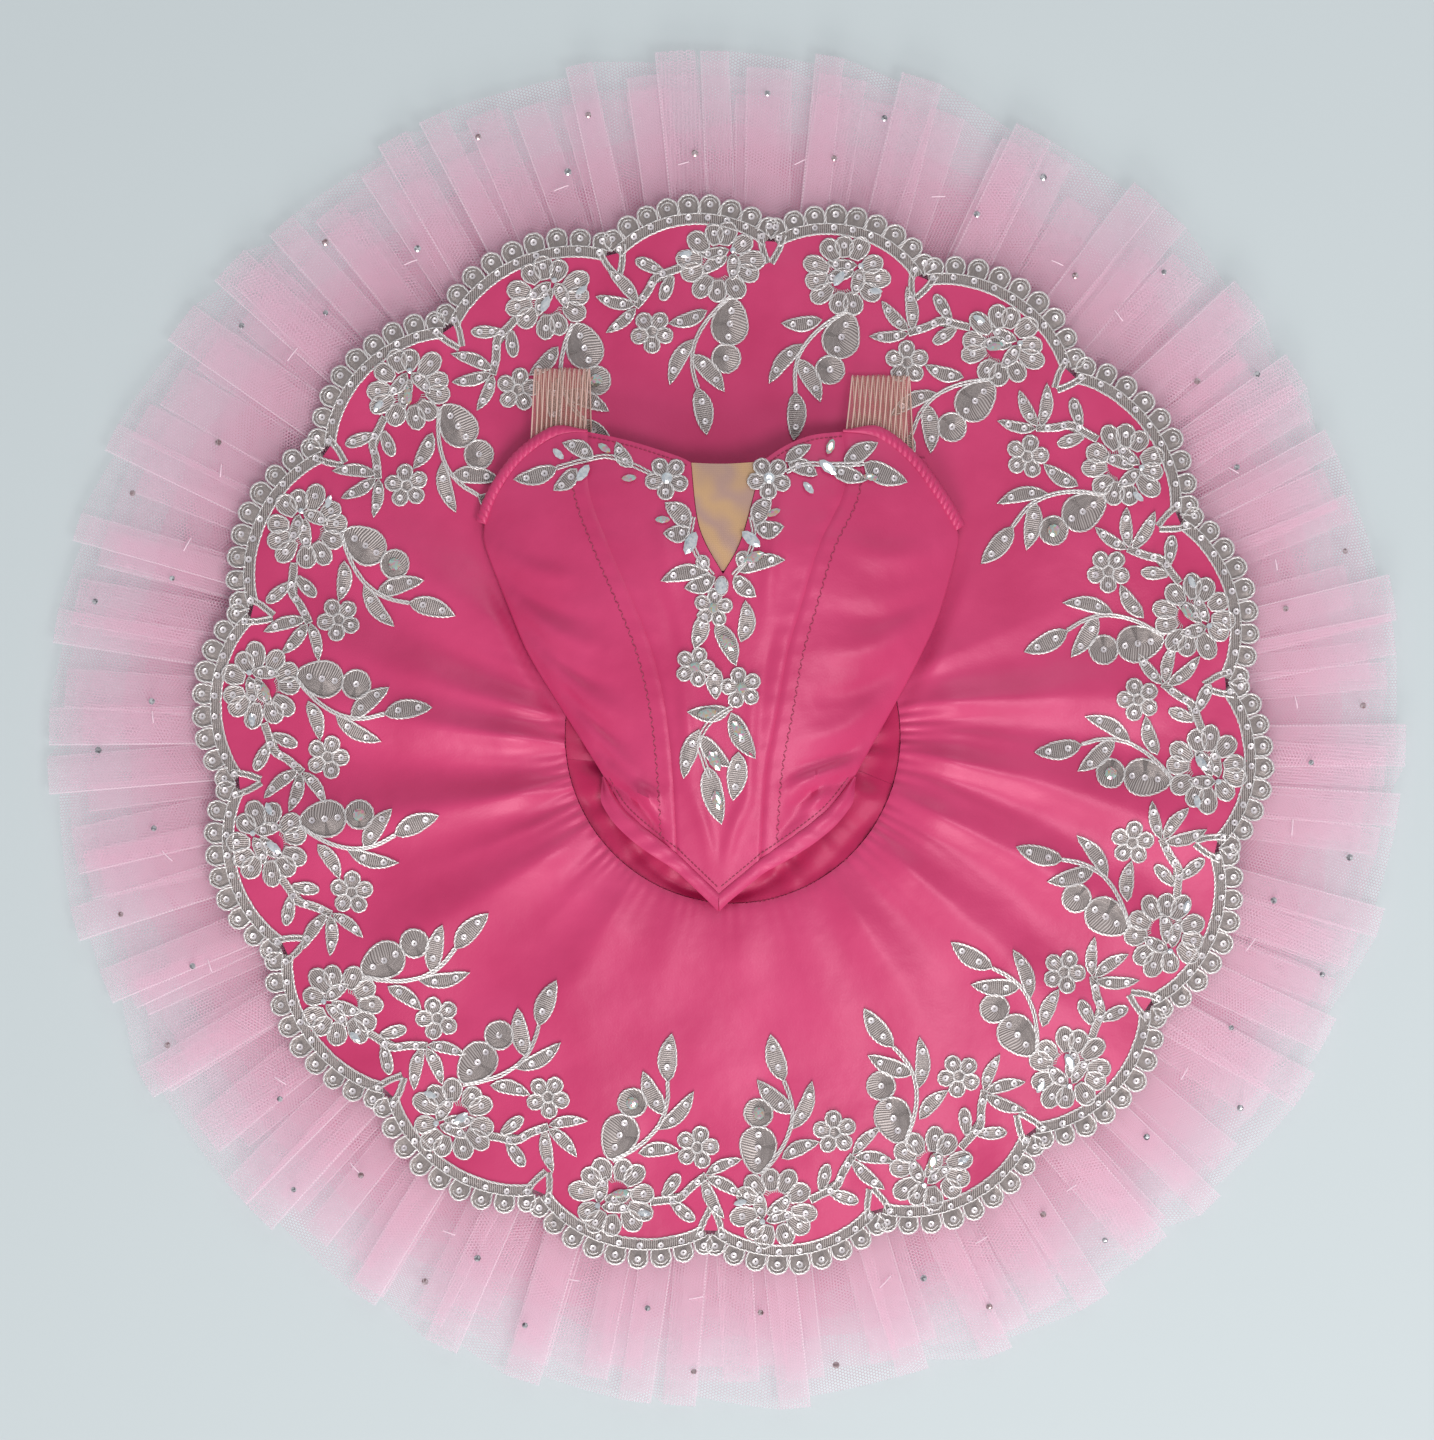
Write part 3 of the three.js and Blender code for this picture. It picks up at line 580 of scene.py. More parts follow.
@dataclass(frozen=True)
class Tulle:
    """Nylon bobbinet: hexagonal meshes of fine thread, which lets the floor show through."""

    name: str = "nylon_tulle_woven"
    thread: str = "#FFDDEC"
    cover: float = 0.36  # how much a thread hides
    veil: float = 0.012  # and the fuzz between the threads
    mesh: float = 2.1  # the real mesh is 1.9 mm wide; drawn a little wider so that it still shows

    def material(self) -> Material:
        """Builds the finish: a see-through honeycomb that glows where its layers add up.

        Returns:
            The material.
        """
        bench = NodeBench(self.name)
        cloth = bench.cloth()
        waves = []
        for turn in (0, 60, 120):
            step = turned(turn) * 2 * np.pi / self.mesh
            along = bench.node("VectorMath", {0: cloth, 1: (*step, 0.0)}, operation="DOT_PRODUCT")
            waves.append(bench.arithmetic("COSINE", (along.outputs["Value"],)))
        total = bench.arithmetic("ADD", (bench.arithmetic("ADD", (waves[0], waves[1])), waves[2]))
        threads = bench.spread(total, 1.0, 0.0, -1.0, -0.1)
        fuzz = bench.spread(bench.noise(bench.place(), 9.0), self.veil * 0.6, self.veil * 1.4, 0.3, 0.7)
        cover = bench.arithmetic("MULTIPLY_ADD", (threads, self.cover, fuzz), clamp=True)
        gloss = bench.surface({"Base Color": linear(self.thread), "Roughness": 0.5, "IOR": NYLON_IOR,
                               "Sheen Weight": 0.6, "Sheen Roughness": 0.35})
        glow = bench.node("BsdfTranslucent", {"Color": linear(self.thread)}).outputs[0]
        body = bench.node("MixShader", {0: 0.35, 1: gloss, 2: glow}).outputs[0]
        return bench.finished(bench.sheer(cover, body))


@dataclass(frozen=True)
class ThreadFill:
    """Metallised polyester thread, embroidered in close rows on organza."""

    name: str = "lurex_thread_embroidered"
    thread: str = "#BDB2AF"
    gap: str = "#665958"
    row: float = 1.5  # real rows are 0.5 mm apart; drawn this coarse so that they show
    metallic: float = 0.4

    def material(self) -> Material:
        """Builds the finish: grey silver rows with pinpoint glints, partly painted into the colour.

        Returns:
            The material.
        """
        bench = NodeBench(self.name)
        cloth = bench.cloth()
        rows = bench.wave(cloth, self.row, 1.2, {"Detail": 2.0, "Detail Scale": 0.6}, bands_direction="X")
        # The noise breaks the rows up and brightens spots of the colour: uneven thread and painted glints;
        # the metal and the bump add real glints under the lamps.
        mixed = bench.arithmetic("MULTIPLY_ADD", (bench.noise(cloth, 0.9), 0.9, rows))
        share = bench.spread(mixed, 0.0, 1.0, 0.35, 1.15)
        return bench.finished(bench.surface({
            "Base Color": bench.blend(share, self.gap, self.thread), "Metallic": self.metallic,
            "Roughness": 0.42, "Normal": bench.bump(mixed, 0.6, 0.0008)}))


@dataclass(frozen=True)
class SilverCord:
    """Metallised yarn twisted round a cotton core."""

    name: str = "lurex_cord_twisted"
    bright: str = "#FFFBFA"
    dark: str = "#BDB3B2"
    twist: float = 1.8  # one turn of the yarn, drawn at twice its real 0.9 mm

    def material(self) -> Material:
        """Builds the finish: a bright silver line, beaded by its twist.

        Returns:
            The material.
        """
        bench = NodeBench(self.name)
        turns = bench.wave(bench.cloth(), self.twist, 0.4, bands_direction="DIAGONAL")
        return bench.finished(bench.surface({
            "Base Color": bench.blend(turns, self.dark, self.bright), "Metallic": 0.4, "Roughness": 0.34,
            "Normal": bench.bump(turns, 0.5, 0.0005)}))


@dataclass(frozen=True)
class CupSequin:
    """PET film, metallised, punched and pressed into a cup."""

    name: str = "pet_sequin_pearl"
    pearl: str = "#F3EDEC"
    tint: str = "#D2C6CE"

    def material(self) -> Material:
        """Builds the finish: a white pearl face with a faint lilac turn.

        Returns:
            The material.
        """
        bench = NodeBench(self.name)
        turn = bench.noise(bench.place(), 160.0)
        return bench.finished(bench.surface({
            "Base Color": bench.blend(turn, self.tint, self.pearl), "Metallic": 0.3, "Roughness": 0.24,
            "Coat Weight": 0.5, "Coat Roughness": 0.08}))


@dataclass(frozen=True)
class CutCrystal:
    """Lead-free glass, cut, with a foiled back."""

    name: str = "glass_crystal_foiled"
    tones_and_reflections: tuple[str, str, str] = ("#E8EDF4", "#BFC7D2", "#FFFFFF")
    cell: float = 1.6  # width of a facet's patch of painted reflection

    def material(self) -> Material:
        """Builds the finish: facets that each show another tone, a painted reflection over the stone's own
        colour.

        Returns:
            The material.
        """
        bench = NodeBench(self.name)
        cells = bench.node("TexVoronoi", {"Vector": bench.place(), "Scale": 1 / (self.cell * METRES)})
        split = bench.node("SeparateColor", {0: cells.outputs["Color"]}).outputs
        # painted reflection: each facet's patch takes a blend of the three tones
        first = bench.blend(split[0], self.tones_and_reflections[0], self.tones_and_reflections[1])
        return bench.finished(bench.surface({
            "Base Color": bench.blend(split[1], first, self.tones_and_reflections[2]), "Metallic": 0.75,
            "Roughness": 0.07, "Coat Weight": 1.0, "Coat Roughness": 0.02}))


@dataclass(frozen=True)
class PowerMesh:
    """Nylon and elastane net, doubled, in a skin tone."""

    name: str = "power_mesh_knitted"
    light: str = "#C79E75"
    dark: str = "#B48F82"
    cloud: float = 19.635  # from one cloud of the two nets' moire to the next

    def material(self) -> Material:
        """Builds the finish: tan with the lilac clouds that two nets make on each other.

        Returns:
            The material.
        """
        bench = NodeBench(self.name)
        cloth = bench.cloth()
        clouds = bench.wave(cloth, self.cloud, 7.0, {"Detail": 2.0, "Detail Scale": 1.4},
                            bands_direction="DIAGONAL")
        holes = bench.node("TexVoronoi", {"Vector": cloth, "Scale": 0.7, "Randomness": 0.1})
        return bench.finished(bench.surface({
            "Base Color": bench.blend(clouds, self.light, self.dark), "Roughness": 0.55, "IOR": NYLON_IOR,
            "Sheen Weight": 0.2, "Normal": bench.bump(holes.outputs["Distance"], 0.3, 0.0005)}))


@dataclass(frozen=True)
class SheerElastic:
    """The clear ground between the ribs of a woven elastic."""

    name: str = "elastic_ground_woven"
    yarn: str = "#CFA08E"
    pick: float = 1.4  # real cross threads are 0.7 mm apart; drawn this coarse so that they show

    def material(self) -> Material:
        """Builds the finish: thin cross threads that let the satin show.

        Returns:
            The material.
        """
        bench = NodeBench(self.name)
        picks = bench.wave(bench.cloth(), self.pick, 0.5, bands_direction="Y")
        body = bench.surface({"Base Color": linear(self.yarn), "Roughness": 0.5})
        return bench.finished(bench.sheer(bench.spread(picks, 0.06, 0.24), body))


@dataclass(frozen=True)
class Yarn:
    """Spun or filament thread, for stitches, tacks and the ribs of the elastic."""

    name: str
    colour: str
    dark: str
    roughness: float = 0.5

    def material(self) -> Material:
        """Builds the finish: a thread with a soft twist of two close tones.

        Returns:
            The material.
        """
        bench = NodeBench(self.name)
        ply = bench.noise(bench.cloth(), 0.8)
        return bench.finished(bench.surface({
            "Base Color": bench.blend(ply, self.dark, self.colour), "Roughness": self.roughness,
            "Sheen Weight": 0.2}))


@dataclass(frozen=True)
class PaleFloor:
    """A plain matt floor."""

    name: str = "floor_painted"
    colour: str = "#CBD3D5"
    cloud: str = "#C6CFD1"

    def material(self) -> Material:
        """Builds the finish: an even pale grey with the faintest clouding.

        Returns:
            The material.
        """
        bench = NodeBench(self.name)
        clouds = bench.noise(bench.place(), 1.2)
        return bench.finished(bench.surface({
            "Base Color": bench.blend(clouds, self.cloud, self.colour), "Roughness": 0.7}))


# painted shade: the basque's satin is the same cloth painted darker, for the yoke that lies deep under the
# bodice
SHADED_SATIN = StretchSatin("nylon_tricot_calendered_painted_shade", "#C4275C", "#A01443", roughness=0.42, shine=0.5)
NET_FOLD = Tulle("nylon_tulle_fold", "#FFECF5", 0.2, 0.22)
# painted shade: the lower nets' tulle is a deeper pink, painted in for the shade and tint that the layers
# above give them
SHADED_NET = Tulle("nylon_tulle_stacked_painted_shade", "#FFA8CC", 0.3, 0.06)
# Painted reflections: aurora's pink, gold and teal stand for its coating's play of colour; the smoke stones'
# near-white tone is a painted glint.
AURORA = CutCrystal("glass_crystal_aurora", ("#F29BC8", "#E9C48A", "#B9E6DC"))
SMOKE = CutCrystal("glass_crystal_small", ("#77707A", "#4E4850", "#F4F2F5"))
WARM_SMOKE = CutCrystal("glass_crystal_small_rose", ("#A8787E", "#7C5A5C", "#F3DDE2"))
RIB = Yarn("elastic_rib_covered", "#F6D4CA", "#D8AA9E", 0.4)
STITCH = Yarn("polyester_thread_spun", "#A32450", "#83173C", 0.45)
TACK = Yarn("polyester_thread_tack", "#FBE6F0", "#F2CDDD", 0.4)


@dataclass
class Finishes:
    """Every finish of the tutu, built once."""

    satin: Material = field(default_factory=StretchSatin().material)
    # the basque's satin, with its shade painted in
    basque: Material = field(default_factory=SHADED_SATIN.material)
    net: Material = field(default_factory=Tulle().material)
    net_edge: Material = field(default_factory=NET_FOLD.material)
    # the lower nets' tulle, with their shade painted in
    net_deep_shaded: Material = field(default_factory=SHADED_NET.material)
    lace: Material = field(default_factory=ThreadFill().material)
    cord: Material = field(default_factory=SilverCord().material)
    sequin: Material = field(default_factory=CupSequin().material)
    crystal: Material = field(default_factory=CutCrystal().material)
    aurora: Material = field(default_factory=AURORA.material)
    smoke: Material = field(default_factory=SMOKE.material)
    warm_smoke: Material = field(default_factory=WARM_SMOKE.material)
    power_mesh: Material = field(default_factory=PowerMesh().material)
    sheer: Material = field(default_factory=SheerElastic().material)
    rib: Material = field(default_factory=RIB.material)
    stitch: Material = field(default_factory=STITCH.material)
    tack: Material = field(default_factory=TACK.material)

    def sewn_on(self) -> list[Material]:
        """What the lace's beads piece is made of, in the order of Finish."""
        return [self.cord, self.sequin, self.crystal, self.aurora]


def dressed(piece: Piece, slot: str, *nodes: str) -> None:
    """Fastens a piece to the frame and reports it.

    Args:
        piece: the new piece.
        slot: the record's material slot; not used.
        nodes: the solids that it stands for.
    """
    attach(piece, "root")
    if nodes:
        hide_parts(*nodes)
    log.info("%s: %d faces", piece.name, len(piece.data.polygons))


# ----------------------------------------------------------------------------------- studio


@dataclass(frozen=True)
class Lamp:
    """A square soft light that looks at the tutu, in metres and watts."""

    name: str
    place: tuple[float, float, float]
    size: float
    power: float
    colour: tuple[float, float, float]

    def hang(self) -> None:
        """Puts the light in the scene."""
        light = bpy.data.lights.new(self.name, "AREA")
        light.size = self.size
        light.energy = self.power
        light.color = self.colour
        lamp = bpy.data.objects.new(self.name, light)
        lamp.location = self.place
        lamp.rotation_euler = (-Vector(self.place)).to_track_quat("-Z", "Y").to_euler()
        bpy.context.scene.collection.objects.link(lamp)


LAMPS = (
    Lamp("key_window", (-0.3, -4.9, 2.6), 2.6, 172.0, (1.0, 0.975, 0.95)),
    Lamp("high_window", (1.1, -1.2, 3.1), 1.2, 41.0, (1.0, 0.985, 0.985)),
    Lamp("back_window", (0.9, 2.6, 2.6), 1.6, 16.0, (1.0, 0.98, 0.97)),
)


@dataclass(frozen=True)
class Studio:
    """A pale floor, soft lights and a camera straight above, in metres."""

    height: float = 3.0
    view: float = 1.044
    middle: Spot = (-0.00725, 0.00725)
    skirt_level: float = 0.03
    sensor: float = 36.0
    far: float = 50.0
    floor_half: float = 8.0
    floor_gap: float = 0.0002
    sky: tuple[float, float, float, float] = (0.92, 0.96, 1.0, 1.0)
    sky_light: float = 0.48
    see_through: int = 48  # sheets of net that a ray may cross
    bounces: int = 6

    def build(self) -> None:
        """Makes the camera, the floor, the lights and the sky."""
        scene = bpy.context.scene
        camera = bpy.data.cameras.new("camera")
        camera.sensor_width = self.sensor
        camera.lens = self.sensor * (self.height - self.skirt_level) / self.view
        camera.clip_end = self.far
        eye = bpy.data.objects.new("camera", camera)
        eye.location = (*self.middle, self.height)
        scene.collection.objects.link(eye)
        scene.camera = eye
        scene.view_settings.view_transform = "Standard"
        scene.cycles.transparent_max_bounces = self.see_through
        scene.cycles.max_bounces = self.bounces
        self._floor()
        for lamp in LAMPS:
            lamp.hang()
        world = bpy.data.worlds.new("studio_air")
        world.use_nodes = True
        air = world.node_tree.nodes["Background"].inputs
        air[0].default_value = self.sky
        air[1].default_value = self.sky_light
        scene.world = world

    def _floor(self) -> None:
        """Lays the floor, at the level that the tutu stands on."""
        floor = Cutting()
        side = self.floor_half / METRES
        corners = np.array([(-side, -side, 0), (side, -side, 0), (side, side, 0), (-side, side, 0)], float)
        floor.add(corners, np.array([[0, 1, 2, 3]]))
        piece = floor.build("floor", [PaleFloor().material()])
        piece.location.z = cad_box[0][2] - self.floor_gap


# -------------------------------------------------------------------------------- the nets


@dataclass(frozen=True)
class Pleat:
    """The lines of one pleat, from the hip outwards."""

    radius: Points
    fold: Points  # angle of its folded edge
    inner: Points  # and of the inner fold behind it
    tall: Points
    base: Points


@dataclass(frozen=True)
class NetLayer:
    """One knife pleated net: each pleat lies three layers thick along its strip."""

    name: str
    node: str
    reach: float
    drop: float
    seed: int
    folds: int = 44
    cut: float = 5.1  # length of the strip of net at its outer edge, in metres
    depth: float = 0.385
    taken: float = 0.72  # share of that strip that is left after its seam edge is eased
    rings: int = 16
    narrow: float = 17.0
    wide: float = 33.0
    rim: float = 500.0
    stations: tuple[float, ...] = (GATHER_RADIUS, 400, 500)
    levels: tuple[float, ...] = (46.5, 22, 14)  # the net's own level at the stations
    rises: tuple[float, ...] = (0.6, 2.6, 5.4)  # and how high a pleat stands there

    def height(self, radius: Points) -> Points:
        """The net's own level at a radius, without its pleats."""
        return np.interp(radius, self.stations, self.levels) - self.drop

    def rise(self, radius: Points) -> Points:
        """How high a pleat stands at a radius."""
        return np.interp(radius, self.stations, self.rises)

    def start(self, index: int) -> float:
        """The angle of a pleat's folded edge: the pleats are uneven."""
        drift = 0.24 * np.sin(index * 2.4 + self.seed) + 0.14 * np.sin(index * 5.1 + 1 + self.seed)
        return (index + drift) * 360 / self.folds

    def build(self, finishes: Finishes) -> None:
        strips = np.random.default_rng(40 + self.seed)
        widths = self.narrow + (self.wide - self.narrow) * strips.random(self.folds)
        chance = np.random.default_rng(70 + self.seed)
        ends = self.reach - 3 - 10 * chance.random(self.folds) ** 1.5
        lean = 2.8 * (chance.random(self.folds) - 0.5)
        shares = np.linspace(0, 1, self.rings) ** 0.8
        pleats = [self._pleat(index, shares, widths[index], ends[index], lean[index])
                  for index in range(self.folds)]
        net = Cutting()
        for here, after, width in zip(pleats, pleats[1:] + pleats[:1], widths):
            self._behind(net, here, width)
            self._panel(net, here, after, width, shares)
        piece = net.build(self.name, [finishes.net, finishes.net_edge])
        dressed(piece, "tulle", self.node)

    def _pleat(self, index: int, shares: Points, width: float, end: float, lean: float) -> Pleat:
        """The lines of one pleat."""
        radius = GATHER_RADIUS + (end - GATHER_RADIUS) * shares
        fold = self.start(index) + lean * shares
        strip = np.minimum(width, 0.62 * 2 * np.pi * radius / self.folds)
        tall = self.rise(radius) * (0.75 + 0.25 * np.sin(index * 3.7 + 0.5 + self.seed))
        base = self.height(radius) - 0.5 * tall
        return Pleat(radius, fold, fold - np.degrees(strip / radius), tall, base)

    def _at(self, radius: Points, angle: Points, height: Points) -> Points:
        """Points at a radius, angle and height, on centres that run from the hip to the rim."""
        shift = np.clip((self.rim - radius) / (self.rim - GATHER_RADIUS), 0, 1)
        flat = turned(angle) * radius[:, None] + HIP * shift[:, None]
        return np.column_stack([flat, height])

    def _behind(self, net: Cutting, here: Pleat, width: float) -> None:
        """Adds a pleat's folded edge, and the strip that runs back under it to the inner fold."""
        radius, fold, top = here.radius, here.fold, here.base + here.tall
        bend = np.degrees(1.1 / radius)
        lines = [self._at(radius, fold, top), self._at(radius, fold + bend, top - 0.5),
                 self._at(radius, fold, top - 1.0),
                 self._at(radius, here.inner, here.base + 0.35 * here.tall)]
        marks = [width, width + 1.2, width, 0]
        self._strip(net, lines[:3], marks[:3], radius, Finish.SECOND)
        self._strip(net, lines[2:], marks[2:], radius, Finish.FIRST)

    def _panel(self, net: Cutting, here: Pleat, after: Pleat, width: float, shares: Points) -> None:
        """Adds the panel from a pleat's inner fold up to the next pleat's folded edge."""
        radius, fold, inner, base, tall = here.radius, here.fold, here.inner, here.base, here.tall
        drop = 3.0 + 4.0 * soft_step(shares, 0.85, 1.0)
        short = radius - drop * shares**3
        next_fold = np.where(after.fold < fold, after.fold + 360, after.fold)
        next_inner = np.where(after.inner < inner, after.inner + 360, after.inner)
        inner_bend = np.degrees(0.9 / radius)
        turn = [self._at(radius, inner, base + 0.35 * tall),
                self._at(radius, inner - inner_bend, base + 0.2), self._at(short, inner, base)]
        self._strip(net, turn, [0, 1, 2], radius, Finish.SECOND)
        gap = (next_inner - fold) * np.pi / 180 * radius
        steps = [turn[2], self._at(short, fold, base + 0.15 * tall)]
        spots = [np.full(len(radius), 2.0), np.full(len(radius), float(width))]
        for share in (0.33, 0.66, 0.92):
            angle = fold + (next_inner - fold) * share
            mixed = short + (after.radius - short) * share
            level = (base + 0.15 * tall) * (1 - share) + (after.base + 0.6 * after.tall) * share
            sag = 0.25 * tall * np.sin(np.pi * share)
            level = level - sag + 0.35 * np.sin(share * 9 + radius / 31)
            steps.append(self._at(mixed, angle, level))
            spots.append(width + gap * share)
        middle = (next_inner + next_fold) / 2
        for angle, lift, across in ((next_inner, 0.72, 0), (middle, 0.93, width / 2), (next_fold, 1, width)):
            steps.append(self._at(after.radius, angle, after.base + lift * after.tall))
            spots.append(width + gap + across)
        grid = np.stack(steps, axis=1)
        down = np.broadcast_to(radius[:, None], grid.shape[:2])
        net.grid(grid, np.stack([np.stack(spots, axis=1), down], axis=-1))

    def _strip(self, net: Cutting, lines: list[Points], marks: list[float], radius: Points,
               finish: Finish) -> None:
        """Adds a narrow run of cloth between a pleat's lines."""
        grid = np.stack(lines, axis=1)
        across = np.broadcast_to(np.array(marks, float)[None], grid.shape[:2])
        down = np.broadcast_to(radius[:, None], grid.shape[:2])
        net.grid(grid, np.stack([across, down], axis=-1), finish)

    def top_height(self, radius: float) -> float:
        """About how high the net's upper face is at a radius."""
        return float(self.height(radius) + 0.55 * self.rise(radius))


@dataclass(frozen=True)
class NetStack:
    """The shorter nets underneath, stepped in length, down to the floor, in a deeper pink painted in for the
    shade and tint of the layers above.
    """

    reaches: tuple[float, ...] = (446, 432, 416, 398, 376, 345)
    outer: tuple[float, ...] = (9.3, 7.4, 5.0, 3.6, 2.0, 0.8)  # level at each rim
    inner: tuple[float, ...] = (37.5, 31, 24.5, 18, 11.5, 5)  # and at the hip
    rim_waves: tuple[float, ...] = (0.9, 0.9, 0.9, 0.9, 0.9, 0.5)  # height of the waves at each rim
    hip_wave: float = 0.3
    floor_gap: float = 0.15
    waves: int = 58
    steps: int = 464
    rings: int = 10

    def build(self, finishes: Finishes) -> None:
        """Makes each net of the stack as a sheet of its own."""
        for order, reach in enumerate(self.reaches):
            stack = Cutting()
            stack.grid(*self._net(order, reach), round_it=True)
            piece = stack.build(f"net_stack_{order + 1:02d}", [finishes.net_deep_shaded])
            dressed(piece, "tulle", "net_core")

    def _net(self, order: int, reach: float) -> tuple[Points, Points]:
        """The points of one net, rows out from the hip, and their places on its cloth."""
        degrees = np.linspace(0, 360, self.steps, endpoint=False)[None]
        angle = np.radians(degrees)
        share = np.linspace(0, 1, self.rings)[:, None]
        ragged = 2.5 * np.sin(angle * 17 + order) + 1.5 * np.sin(angle * 41 + 2 * order)
        radius = GATHER_RADIUS + 0.5 + (reach - 4 + ragged - GATHER_RADIUS) * share
        sway = 0.5 * np.sin(angle * 7 + order)
        wave = np.sin(angle * self.waves + sway * 4 + order * 1.3)
        wave = np.sign(wave) * np.abs(wave) ** 0.6
        tall = np.interp(share, (0, 1), (self.hip_wave, self.rim_waves[order]))
        level = self.inner[order] + (self.outer[order] - self.inner[order]) * share
        flat = turned(degrees[0])[None] * radius[..., None] + HIP
        height = np.maximum(level + wave * tall, self.floor_gap)
        cloth = np.stack(np.broadcast_arrays(angle * 420, radius + 0.35 * tall * wave), axis=-1)
        return np.concatenate([flat, height[..., None]], axis=-1), cloth


@dataclass(frozen=True)
class FoldedPanty:
    """The panty, folded flat under the nets: two rounded layers of satin."""

    radii: tuple[float, ...] = (0, 60, 104, 110, 112, 110, 106, 108, 104, 60, 0)
    heights: tuple[float, ...] = (0.1, 0.1, 0.1, 0.6, 2, 3.8, 4.6, 7, 9, 11, 11.5)
    sides: int = 120

    def build(self, finishes: Finishes) -> None:
        """Makes the folded panty with a few soft creases."""
        degrees = np.linspace(0, 360, self.sides, endpoint=False)
        angle = np.radians(degrees)
        rows = []
        for radius, height in zip(self.radii, self.heights):
            swell = radius * (1 + 0.012 * np.sin(angle * 5) + 0.008 * np.sin(angle * 13))
            crease = 0.5 * np.sin(angle * 9 + 1) * (height > 5) * (radius > 0)
            rows.append(np.column_stack([turned(degrees) * swell[:, None] + HIP, height + crease]))
        panty = Cutting()
        grid = np.stack(rows)
        panty.add(grid.reshape(-1, 3), quads(*grid.shape[:2], True)[:, ::-1])
        piece = panty.build("panty_folded_cloth", [finishes.satin])
        dressed(piece, "satin", "panty_folded")


# ----------------------------------------------------------------------------- top skirt


@dataclass(frozen=True)
class Fold:
    """A soft ridge of satin that runs out from the hip seam.

    It leaves the seam at its angle, drifts by its turn, and dies out at its reach.
    """

    angle: float
    turn: float
    spread: float
    height: float
    reach: float


SKIRT_FOLDS = (
    Fold(149, -9, 5.5, 1.8, 180), Fold(159, -11, 4.4, 3.6, 240), Fold(168, -10, 3.0, 2.2, 130),
    Fold(175, -10, 3.8, 4.8, 255), Fold(183, -9, 3.0, 5.4, 200), Fold(190, -7, 2.6, 2.4, 105),
    Fold(197, -6, 4.2, 5.0, 250), Fold(206, -3, 3.2, 3.0, 140), Fold(214, -2, 4.8, 4.0, 215),
    Fold(225, 1, 3.8, 2.0, 110), Fold(236, 2, 5.6, 2.6, 180), Fold(253, 2, 6.5, 1.5, 130),
    Fold(275, 0, 7.0, 1.2, 110), Fold(293, -1, 6.0, 1.7, 140), Fold(306, -2, 5.0, 2.6, 170),
    Fold(317, -3, 3.8, 2.0, 100), Fold(325, -5, 4.6, 4.0, 210), Fold(334, -6, 3.0, 2.6, 120),
    Fold(341, -7, 3.8, 5.0, 235), Fold(349, -8, 2.8, 3.0, 130), Fold(356, -9, 3.6, 5.4, 245),
    Fold(4, -8, 2.8, 3.0, 140), Fold(11, -7, 4.0, 4.8, 230), Fold(20, 2, 4.2, 3.0, 180),
    Fold(31, 5, 5.5, 2.2, 170), Fold(58, 4, 6.5, 1.6, 150), Fold(95, -2, 6.5, 1.4, 140),
    Fold(124, -5, 6.0, 1.7, 150),
)


